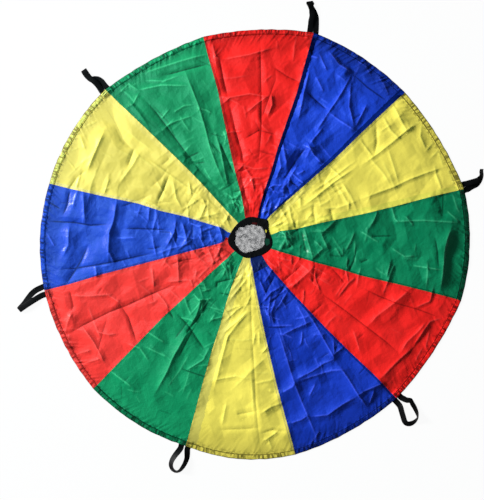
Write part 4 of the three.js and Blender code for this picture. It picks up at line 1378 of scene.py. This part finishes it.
def new_tree(name, inputs):
    """A tree that takes a geometry and these (label, kind, value) inputs. Also its nodes and its inputs."""
    tree = bpy.data.node_groups.new(name, "GeometryNodeTree")
    for label, kind, value in [("Geometry", "Geometry", None), *inputs]:
        socket = tree.interface.new_socket(label, in_out="INPUT", socket_type=f"NodeSocket{kind}")
        if value is not None:
            socket.default_value = value
    tree.interface.new_socket("Geometry", in_out="OUTPUT", socket_type="NodeSocketGeometry")
    nodes = Nodes(tree)
    return tree, nodes, nodes.add("NodeGroupInput").node.outputs


def end_tree(nodes, shapes, finish):
    """Makes the instances real, gives them the finish and hands them out."""
    real = nodes.add("GeometryNodeRealizeInstances", {0: shapes})
    finished = nodes.add("GeometryNodeSetMaterial", {"Geometry": real, "Material": finish})
    nodes.add("NodeGroupOutput", {0: finished})
    print(len(nodes.tree.nodes), "nodes in", nodes.tree.name)


def apply_tree(obj, tree, values):
    """Runs the tree on obj with these inputs, and leaves obj as a plain mesh with no modifier."""
    modifier = obj.modifiers.new(tree.name, "NODES")
    modifier.node_group = tree
    names = {s.name: s.identifier for s in tree.interface.items_tree if s.in_out == "INPUT"}
    for label, value in values.items():
        modifier[names[label]] = value
    bpy.context.view_layer.update()
    seen = obj.evaluated_get(bpy.context.evaluated_depsgraph_get())
    mesh = bpy.data.meshes.new_from_object(seen)
    obj.modifiers.remove(modifier)
    obj.data = mesh
    mesh.name = obj.name
    return obj


# %% [markdown]
# ## The net
#
# A fine black net closes the vent, and the pale floor shows through it, so from a step away it reads as
# grey. An image of a net on a disc would do that too, but it would have no holes. The tree lays lines
# across the vent one way and then the other, shortens each to the circle, shakes them a little and makes
# them round strands. Their thickness varies in soft clumps, as a net does where its threads have shifted
# together.

# %% The net's tree
NET_RADIUS = 71.5 * MM
NET_PITCH = 2.2 * MM
NET_STRAND = 0.92 * MM
NET_HEIGHT = 1.72 * MM
OUTERMOST_STRAND = 0.985  # where the first and last strands lie, as a share of the radius

net_sizes = [
    ("Radius", "Float", NET_RADIUS),
    ("Strands", "Int", 46),
    ("Strand", "Float", NET_STRAND),
    ("Shake", "Float", 0.5 * MM),
    ("Height", "Float", NET_HEIGHT),
    ("Finish", "Material", None),
]
net_tree, nodes, given = new_tree("vent_net_strands", net_sizes)
maths = nodes.maths
ends = [maths("MULTIPLY", given["Radius"], side * OUTERMOST_STRAND) for side in (-1, 1)]
row = {"Start Location": nodes.vector(X=ends[0]), "Offset": nodes.vector(X=ends[1])}
feet = nodes.add("GeometryNodeMeshLine", {"Count": given["Strands"], **row}, mode="END_POINTS")
strand = nodes.add("GeometryNodeCurvePrimitiveLine", {"Start": (0, -1, 0), "End": (0, 1, 0)})
across = nodes.add("ShaderNodeSeparateXYZ", {0: nodes.add("GeometryNodeInputPosition")}, "X")
rest = maths("SUBTRACT", maths("POWER", given["Radius"], 2.0), maths("POWER", across, 2.0))
size = nodes.vector(X=1.0, Y=maths("SQRT", rest), Z=1.0)
lines = nodes.add("GeometryNodeInstanceOnPoints", {"Points": feet, "Instance": strand, "Scale": size})
one_way = nodes.add("GeometryNodeRealizeInstances", {0: lines})
other_way = nodes.add("GeometryNodeTransform", {"Geometry": one_way, "Rotation": (0, 0, math.pi / 2)})
both = nodes.add("GeometryNodeJoinGeometry", {0: one_way})
nodes.feed(both.node, {0: other_way})
fine = nodes.add("GeometryNodeResampleCurve", {"Curve": both, "Length": NET_PITCH}, mode="LENGTH")
centred = nodes.vectors("SUBTRACT", {0: nodes.noise(90, 2, "Color"), 1: (0.5, 0.5, 0.5)})
shake = nodes.vectors("SCALE", {0: centred, "Scale": given["Shake"]})
shake = nodes.vectors("MULTIPLY", {0: shake, 1: (4.5, 4.5, 0.6)})
moved = nodes.add("GeometryNodeSetPosition", {"Geometry": fine, "Offset": shake})
clumps = nodes.spread(nodes.noise(55, 2), 0.40, 0.64, 0.85, 1.6)
radius = maths("MULTIPLY", given["Strand"], 0.5)
section = nodes.add("GeometryNodeCurvePrimitiveCircle", {"Resolution": 5, "Radius": radius})
sweep = {"Curve": moved, "Profile Curve": section, "Scale": clumps, "Fill Caps": True}
tubes = nodes.add("GeometryNodeCurveToMesh", sweep)
lift = {"Geometry": tubes, "Translation": nodes.vector(Z=given["Height"])}
end_tree(nodes, nodes.add("GeometryNodeTransform", lift), given["Finish"])

# %% Make the net


def plain_black(name, colour, roughness):
    """Black nylon for thread and net, a little uneven in colour."""
    finish, nodes, shader = new_finish(name)
    at = nodes.add("ShaderNodeTexCoord", None, "Object")
    base = nodes.mixed(nodes.noise(220, 2, Vector=at), colour, shade_of(colour, 2.2))
    look = {"Base Color": base, "Normal": nodes.bump(nodes.noise(2500, 1, Vector=at), 0.08 * MM, 0.5)}
    nodes.feed(shader, {**look, "Roughness": roughness, "Specular IOR Level": 0.12})
    return finish


net_finish = plain_black("black_net", (0.030, 0.030, 0.033, 1), 0.55)
thread_finish = plain_black("black_thread", (0.008, 0.008, 0.009, 1), 0.7)
vent_net = shape_object("vent_net_mesh", [(0, 0, 0)], [], [])
apply_tree(vent_net, net_tree, {"Strands": int(2 * NET_RADIUS / NET_PITCH), "Finish": net_finish})
print("triangles in the net, about:", 2 * len(vent_net.data.polygons))


# %% [markdown]
# ## Hand loops
#
# Each loop is one length of 25 mm webbing with both its ends sewn under the hem. It lies as it was
# dropped: four of them lie closed with one strand above the other, and two gape. The strap could be a
# curve with a bevel, but a curve's bevel twists where the strap turns over. So each loop has
# stations with the way the strap's width points at each, and a rounded section is swept through them. The
# ends run in under the cloth.

# %% The way each loop lies
# Closed loops: rows of (outwards, aside, how far apart the strands are, lean), in millimetres and degrees
CLOSED_LIES = {
    1: [
        *[(10, 6, 25, 0), (28, 10, 23.5, 0), (46, 14.5, 22, 0), (66, 19, 16.5, 0), (82, 28, 11, 0)],
        *[(93, 36, 5, 6), (104, 46, 2, 10), (114, 51, 11, 0)],
    ],
    3: [
        *[(6, 8, 25, 0), (16, 8, 24, 0), (36, 12, 18, 0), (57, 15.5, 14, 0), (69, 22, 7, 8)],
        *[(79, 32, 4, 26), (84, 43, 2, 36), (86, 57, 2, 38)],
    ],
    9: [(16, 2, 32, 0), (36, 7, 33, 0), (56, 15, 30, 3), (78, 27, 21, 6), (98, 39, 11, 6), (113, 47, 6, 3)],
    11: [
        *[(8, 3, 25, 0), (22, 1, 23, 0), (38, -1, 22, 0), (56, 2, 17, 0), (68, 8, 8, 0), (78, 14, 1, 0)],
        *[(96, 14, 2, 0), (115, 11, 2, 0)],
    ],
}
TIP_REACH = {1: (123, 56), 3: (90, 66), 9: (126, 54), 11: (125, 8)}
# Gaping loops: rows of (outwards, aside, lean) from one end round to the other
OPEN_LIES = {
    5: [
        *[(15, -9.5, 4), (29, -10, 14), (38, -12.5, 24), (53, -20, 27), (73, -30, 27), (95, -40, 28)],
        *[(109, -39, 26), (119, -28, 24), (123, -12, 36), (121, 5, 52), (115, 15, 60), (100, 24, 44)],
        *[(79, 31, 34), (60, 35, 34), (46, 38, 34), (34.5, 28.5, 30), (23.5, 23, 14), (11, 18, 3)],
    ],
    7: [
        *[(14, -17, 4), (30, -22, 16), (52, -31, 30), (76, -37, 36), (96, -35, 38), (110, -24, 44)],
        *[(115, -8, 52), (108, 6, 54), (90, 15, 44), (68, 20, 36), (46, 21, 28), (26, 16, 14), (12, 12, 4)],
    ],
}
STRAND_GAP = 6 * MM
OVER_LIFT = STRAP_THICKNESS * 1.3
CLEAR_APART = 25.5  # mm; strands this far apart lie side by side, and nearer ones overlap
FLOOR_LIE = STRAP_THICKNESS / 2 + 0.15 * MM


def loop_frame(k):
    """Where loop k is sewn on, the way outwards there and the way round, anticlockwise."""
    out = Vector((*from_polar(1, bearing_at(k, 0)), 0))
    return hem_point(k, 0), out, Vector((-out.y, out.x, 0))


def leaning(width, lean):
    """The way a flat strap's width points once it leans, and how high its middle then lies."""
    tilt = math.radians(lean)
    up = Vector((0, 0, math.sin(tilt)))
    return width * math.cos(tilt) + up, FLOOR_LIE + STRAP_WIDTH / 2 * math.sin(tilt)


def closed_stations(k):
    """Stations of a loop that lies closed: out along the floor, up at the tip, and back above."""
    end, out, aside = loop_frame(k)
    rows = np.array([(0, *LOOP_SEWN[k], 0)] + CLOSED_LIES[k], float)
    headings = np.gradient(rows[:, :2], axis=0)
    strands = {-1: [], 1: []}
    for (along, sideways, apart, lean), heading in zip(rows[1:], headings[1:]):
        ahead = (out * heading[0] + aside * heading[1]).normalized()
        width, lift = leaning(Vector((-ahead.y, ahead.x, 0)), lean)
        over = float(fade(along / rows[-1, 0] / 0.6)) * STRAND_GAP
        over = max(over, OVER_LIFT * float(fade((CLEAR_APART - apart) / 3)))
        for side in strands:
            flat = out * along + aside * (sideways + side * apart / 2)
            strands[side].append((end + flat * MM + Vector((0, 0, lift + (side > 0) * over)), width))
    tip_out, tip_aside = TIP_REACH[k]
    (low, _), (high, _) = strands[-1][-1], strands[1][-1]
    tip = end + (out * tip_out + aside * tip_aside) * MM + Vector((0, 0, (low.z + high.z) / 2))
    return strands[-1] + [(tip, width)] + strands[1][::-1]


def gaping_stations(k):
    """Stations of a loop that gapes: both strands lie out flat, and the far end stands up on its edge."""
    end, out, aside = loop_frame(k)
    middles = []
    for along, sideways, lean in OPEN_LIES[k]:
        lift = Vector((0, 0, leaning(out, lean)[1]))
        middles.append(end + (out * along + aside * sideways) * MM + lift)
    path = [loop_root(k, -1)[0], *middles, loop_root(k, 1)[0]]
    stations = []
    for (_, _, lean), before, point, after in zip(OPEN_LIES[k], path, path[1:], path[2:]):
        heading = (after - before).to_2d().normalized()
        stations.append((point, leaning(Vector((-heading.y, heading.x, 0)), lean)[0]))
    return stations


# %% Sweep the strap
SECTION_STEPS = 8
STATION_SPACING = 3.0 * MM
STRAP_CUP = 0.9 * MM
STRAP_WAVER = 0.5 * MM
CUP_WAVE = 31 * MM
WAVER_WAVE = 17 * MM
FREE_RAMP = 30 * MM  # past its sewn ends the strap is free to bend over this length
LEAST_STRAP_Z = 0.1 * MM


def smooth_path(rows, spacing):
    """Rows of numbers carried along a smooth curve through them, about one spacing apart."""
    rows = np.asarray(rows, float)
    padded = np.vstack([2 * rows[0] - rows[1], rows, 2 * rows[-1] - rows[-2]])
    found = []
    for a, b, c, d in zip(padded, padded[1:], padded[2:], padded[3:]):
        steps = max(1, int(round(np.linalg.norm((c - b)[:3]) / spacing)))
        for t in np.arange(steps) / steps:
            curve = 2 * b + (c - a) * t + (2 * a - 5 * b + 4 * c - d) * t**2 + (3 * b - a - 3 * c + d) * t**3
            found.append(0.5 * curve)
    return np.array([*found, rows[-1]])


def strap_section():
    """The webbing's outline across its width, going round, with rounded edges: (across, up) in metres."""
    half = STRAP_THICKNESS / 2
    flat = STRAP_WIDTH / 2 - half
    across = np.linspace(-flat, flat, SECTION_STEPS + 1)
    rounded = [(half * math.cos(t), half * math.sin(t)) for t in np.radians([50, 0, -50])]
    top = [(a, half) for a in across] + [(flat + a, b) for a, b in rounded]
    bottom = [(a, -half) for a in across[::-1]] + [(-flat - a, -b) for a, b in rounded]
    return np.array(top + bottom)


def sweep_strap(name, stations):
    """Sweeps the section through the stations. Hands back the strap and its length."""
    path = smooth_path([(*point, *width) for point, width in stations], STATION_SPACING)
    middle = path[:, :3]
    along = np.gradient(middle, axis=0)
    along /= np.linalg.norm(along, axis=1)[:, None]
    side = path[:, 3:] / np.linalg.norm(path[:, 3:], axis=1)[:, None]
    up = np.cross(along, side)
    up /= np.linalg.norm(up, axis=1)[:, None]
    across, over = strap_section().T
    run = np.concatenate([[0], np.cumsum(np.linalg.norm(np.diff(middle, axis=0), axis=1))])
    free = fade((run - TAIL_LENGTH) / FREE_RAMP) * fade((run[-1] - TAIL_LENGTH - run) / FREE_RAMP)
    cup = STRAP_CUP * free * (0.5 + 0.5 * np.sin(run / CUP_WAVE))
    waver = STRAP_WAVER * free * np.sin(run / WAVER_WAVE + 1.0)
    points = []
    places = []
    for i in range(len(path)):
        bow = cup[i] * ((across / (STRAP_WIDTH / 2)) ** 2 - 0.4) + waver[i] * across / STRAP_WIDTH
        ring = middle[i] + np.outer(across, side[i]) + np.outer(over + bow, up[i])
        ring[:, 2] = np.maximum(ring[:, 2], LEAST_STRAP_Z)
        points.append(ring)
        places.append(np.column_stack([across + np.sign(over) * 0.1, np.full(len(across), run[i])]))
    count = len(across)
    total = len(path) * count
    faces = []
    for start in range(0, total - count, count):
        for j in range(count):
            a = start + j
            b = start + (j + 1) % count
            faces.append((a, a + count, b + count, b))
    faces += [tuple(range(count)), tuple(range(total - 1, total - count - 1, -1))]
    made = shape_object(name, np.vstack(points), [], faces, webbing_finish)
    add_map(made.data, np.vstack(places))
    return made, run[-1]


def make_loop(k):
    lies_open = k in OPEN_LIES
    stations = gaping_stations(k) if lies_open else closed_stations(k)
    low, low_out, low_width = loop_root(k, -1)
    high, high_out, high_width = loop_root(k, 1)
    floor_lie = Vector((0, 0, FLOOR_LIE))
    turned = -1 if lies_open else 1
    reaches = (-TAIL_LENGTH, -TAIL_LENGTH / 2, 0)
    head = [(low + low_out * reach + floor_lie, low_width) for reach in reaches]
    tail = [(high + high_out * reach + floor_lie, high_width * turned) for reach in reaches[::-1]]
    made, length = sweep_strap(f"webbing_loop_{hour(k)}", head + stations + tail)
    print(f"loop {hour(k)}: {length / MM:.0f} mm of webbing")
    return made


loops = {k: make_loop(k) for k in LOOP_SEWN}


# %% [markdown]
# ## Stitching
#
# Thread runs in two rows along every seam, once round the hem and twice round the vent's tape, and in
# short dense bars across each loop's tails. One tree makes them all: it follows the lines it is given,
# and sets a small thread bead at every stitch. The lines are laid on the cloth by asking the cloth for
# its height.

# %% The stitching's tree
stitch_sizes = [
    ("Pitch", "Float", 3.4 * MM),
    ("Length", "Float", 2.7 * MM),
    ("Thread", "Float", 0.55 * MM),
    ("Turn", "Float", 0.0),
    ("Seed", "Int", 5),
    ("Finish", "Material", None),
]
stitch_tree, nodes, given = new_tree("stitches_along_lines", stitch_sizes)
curve = nodes.add("GeometryNodeMeshToCurve", {0: given["Geometry"]})
even = nodes.add("GeometryNodeResampleCurve", {"Curve": curve, "Length": given["Pitch"]}, mode="LENGTH")
tangent = nodes.add("GeometryNodeInputTangent")
facing = nodes.add("FunctionNodeAlignRotationToVector", {"Vector": tangent}, axis="X")
bead = nodes.add("GeometryNodeMeshUVSphere", {"Segments": 6, "Rings": 4, "Radius": 0.5})
size = nodes.vector(X=given["Length"], Y=given["Thread"], Z=given["Thread"])
bead = nodes.add("GeometryNodeTransform", {"Geometry": bead, "Scale": size})
bead = nodes.add("GeometryNodeTransform", {"Geometry": bead, "Rotation": nodes.vector(Z=given["Turn"])})
# A Random Value node keeps the limits of a plain number in inputs 2 and 3, and the number in output 1
uneven = nodes.add("FunctionNodeRandomValue", {"Seed": given["Seed"], 2: 0.85, 3: 1.1}, 1, data_type="FLOAT")
placed = {"Points": even, "Instance": bead, "Rotation": facing, "Scale": uneven}
end_tree(nodes, nodes.add("GeometryNodeInstanceOnPoints", placed), given["Finish"])

# %% Lines for the thread
LINE_STEP = 4 * MM
SEAM_FROM = 98 * MM  # the seams' rows start here, out from the vent's middle
SEAM_ASIDE = (1.8 * MM, 8.2 * MM)
# How high the rows lie over the cloth: on a seam, how much more over the hem, on the hem and on the tape
SEAM_LIFT = 0.15 * MM
HEM_RISE = 0.9 * MM
HEM_LIFT = 1.0 * MM
RING_LIFT = 0.45 * MM
HEM_STITCH_IN = 18.9 * MM
HEM_STEPS = 130
RING_ROW_STEPS = 241
HEM_THREAD = {"Thread": 0.8 * MM, "Length": 3.2 * MM}
RING_ROWS = (0.14, 0.86)  # shares of the tape's width
RIGHT = range(6)


def stitch(name, lines, **sizes):
    """Runs the stitching tree along lines, each a list of points."""
    edges = []
    start = 0
    for line in lines:
        edges += [(i, i + 1) for i in range(start, start + len(line) - 1)]
        start += len(line)
    made = shape_object(name, np.concatenate(lines), edges, [])
    return apply_tree(made, stitch_tree, {**sizes, "Finish": thread_finish})


def seam_rows(k):
    """Two rows of stitches just beside seam k, on the panel clockwise of it."""
    reach = hem_reach(k, 0)
    r = np.linspace(SEAM_FROM, reach - 2 * MM, int((reach - 0.1) / LINE_STEP))
    turn = seam_bearing(k, r)
    lift = SEAM_LIFT + HEM_RISE * (r > reach - HEM_WIDTH)
    x, y = from_polar(1, turn)
    return [on_cloth(r * x + aside * y, r * y - aside * x, lift) for aside in SEAM_ASIDE]


def hem_row(k):
    f = np.linspace(0, 1, HEM_STEPS)
    r = hem_reach(k, f) - HEM_STITCH_IN
    return on_cloth(*from_polar(r, bearing_at(k, f)), HEM_LIFT)


def ring_row(share):
    turn = np.linspace(0, 2 * math.pi, RING_ROW_STEPS)
    r = upper_inner(turn) * (1 - share) + upper_outer(turn) * share
    return on_cloth(*from_polar(r, turn), UPPER_LIFT + TAPE_THICKNESS + RING_LIFT)


seam_threads = {}
for side, seams in {"left": range(7, 12), "right": range(1, 6), "fold": (0, 6)}.items():
    seam_threads[side] = stitch(f"seam_thread_{side}", [row for k in seams for row in seam_rows(k)])
hem_threads = {}
for side, hems in {"left": range(6, 12), "right": RIGHT}.items():
    hem_threads[side] = stitch(f"hem_thread_{side}", [hem_row(k) for k in hems], **HEM_THREAD)
ring_thread = stitch("vent_thread", [ring_row(share) for share in RING_ROWS])
sewn = [*seam_threads.values(), *hem_threads.values(), ring_thread]
print("stitch faces:", sum(len(piece.data.polygons) for piece in sewn))

# %% Bar tacks across the loops' tails
BAR_INSETS = (6 * MM, 15 * MM)
BAR_HALF = 0.42  # half a bar's length, as a share of the strap's width
BAR_STEPS = 22
BAR_LIFT = 2.3 * MM


def bar_lines(k):
    """Two bars across each of the two tails of loop k."""
    lines = []
    across = np.linspace(-BAR_HALF, BAR_HALF, BAR_STEPS) * STRAP_WIDTH
    for side in (-1, 1):
        root, out, edge = loop_root(k, side)
        for inset in BAR_INSETS:
            middle = root - out * inset
            lines.append(on_cloth(middle.x + edge.x * across, middle.y + edge.y * across, BAR_LIFT))
    return lines


bar_tacks = {}
for side, tied in {"left": (7, 9, 11), "right": (1, 3, 5)}.items():
    bars = [line for k in tied for line in bar_lines(k)]
    bar_tacks[side] = stitch(f"bar_tacks_{side}", bars, Pitch=0.8 * MM, Length=2.6 * MM, Turn=1.25)
print("bar tack faces:", sum(len(o.data.polygons) for o in bar_tacks.values()))


# %% [markdown]
# ## Floor and light
#
# The floor is plain and pale. To the camera it glows white, so the background is white without flooding
# the cloth with light, and a part of it stays an ordinary matte surface that keeps the shadow. The light
# is a large soft window from the upper left, a broad faintly green lamp overhead to the left, whose
# reflection puts the sheen on the left side of the cloth, and a weak even sky.

# %% Floor
FLOOR_HALF = 8.0
FLOOR_DROP = -0.3 * MM
FLOOR_GLOW = 0.94
PALE = (0.86, 0.86, 0.86, 1)

floor_finish = bpy.data.materials.new("plain_floor")
nodes = emptied(floor_finish)
rays = nodes.add("ShaderNodeLightPath").node.outputs
seen = nodes.maths("MAXIMUM", rays["Is Camera Ray"], rays["Is Glossy Ray"])
seen = nodes.maths("MAXIMUM", seen, rays["Is Transmission Ray"])
matte = nodes.add("ShaderNodeBsdfDiffuse", {"Color": PALE})
both = {0: nodes.maths("MULTIPLY", seen, FLOOR_GLOW), 1: matte, 2: nodes.add("ShaderNodeEmission")}
nodes.add("ShaderNodeOutputMaterial", {"Surface": nodes.add("ShaderNodeMixShader", both)})
corners = [(a * FLOOR_HALF, b * FLOOR_HALF, FLOOR_DROP) for a, b in ((-1, -1), (1, -1), (1, 1), (-1, 1))]
shape_object("floor", corners, [], [(0, 1, 2, 3)], floor_finish)
print("floor laid")

# %% Lamps
WHITE = (1, 1, 1, 1)
SKY_LEVEL = 0.07


def soft_light(name, place, aim, size, power, colour=WHITE[:3]):
    """A square soft light at place that points at aim."""
    data = bpy.data.lights.new(name, "AREA")
    data.size = size
    data.energy = power
    data.color = colour
    made = bpy.data.objects.new(name, data)
    made.location = place
    made.rotation_euler = (Vector(aim) - Vector(place)).to_track_quat("-Z", "Y").to_euler()
    bpy.context.scene.collection.objects.link(made)


soft_light("window", (-12, 4.1, 4.3), (0, 0, 0), 2.4, 4350)
soft_light("overhead", (-1.9, 0.9, 3.6), (-0.2, 0, 0), 1.4, 34, (0.42, 0.92, 1.0))

world = bpy.data.worlds.new("sky")
bpy.context.scene.world = world
nodes = emptied(world)
both = {0: nodes.add("ShaderNodeLightPath", None, "Is Camera Ray")}
for number, level in enumerate((SKY_LEVEL, 1.0), 1):
    both[number] = nodes.add("ShaderNodeBackground", {"Color": WHITE, "Strength": level})
nodes.add("ShaderNodeOutputWorld", {"Surface": nodes.add("ShaderNodeMixShader", both)})
bpy.context.scene.view_settings.view_transform = "Standard"
print("two soft lights and a sky")


# %% [markdown]
# ## What moves with what
#
# The canopy folds in half across its middle, and each loop swings up at the hem. Pieces that stay on one
# side of the fold ride on that half. Cloth that crosses the fold or lies close to it, and the loops, only
# have their transforms baked where they lie.

# %% Which pieces ride on a half
FOLD_ACROSS = Vector((0.97630, 0.21644, 0))  # square to the seams at 12 and 6
FOLD_BAND = 45 * MM


def half_of(k):
    return "right_half" if k in RIGHT else "left_half"


def settle(piece, half):
    """piece rides on its half or, if it comes near the fold, only has its transform baked."""
    if min(abs(v.co.dot(FOLD_ACROSS)) for v in piece.data.vertices) < FOLD_BAND:
        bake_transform(piece)
        return "bends"
    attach(piece, half)
    return "rides"


for k, piece in enumerate(panels):
    print(piece.name, settle(piece, half_of(k)), "with", half_of(k))
    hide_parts(panel_name(k))
for piece, node_name, slot_name in (
    (under_tape, "vent_tape_under", "vent_tape"),
    (upper_tape, "vent_tape_top", "vent_tape"),
    (vent_net, "vent_net", "vent_net"),
):
    settle(piece, "left_half")
    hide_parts(node_name)
for threads in (seam_threads, hem_threads, bar_tacks, {"vent": ring_thread}):
    for side, piece in threads.items():
        settle(piece, "right_half" if side == "right" else "left_half")

# %% The loops only have their transforms baked, and the frame's loops are hidden
for k, piece in loops.items():
    end, out, _ = loop_frame(k)
    half_of(k)
    f"loop_{hour(k)}"
    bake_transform(piece)
    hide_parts(f"hand_loop_{hour(k)}")

for k, piece in enumerate(panels):
    reach = float(hem_reach(k, 0.5))
print(len(panels) + 1, "sheets declared")
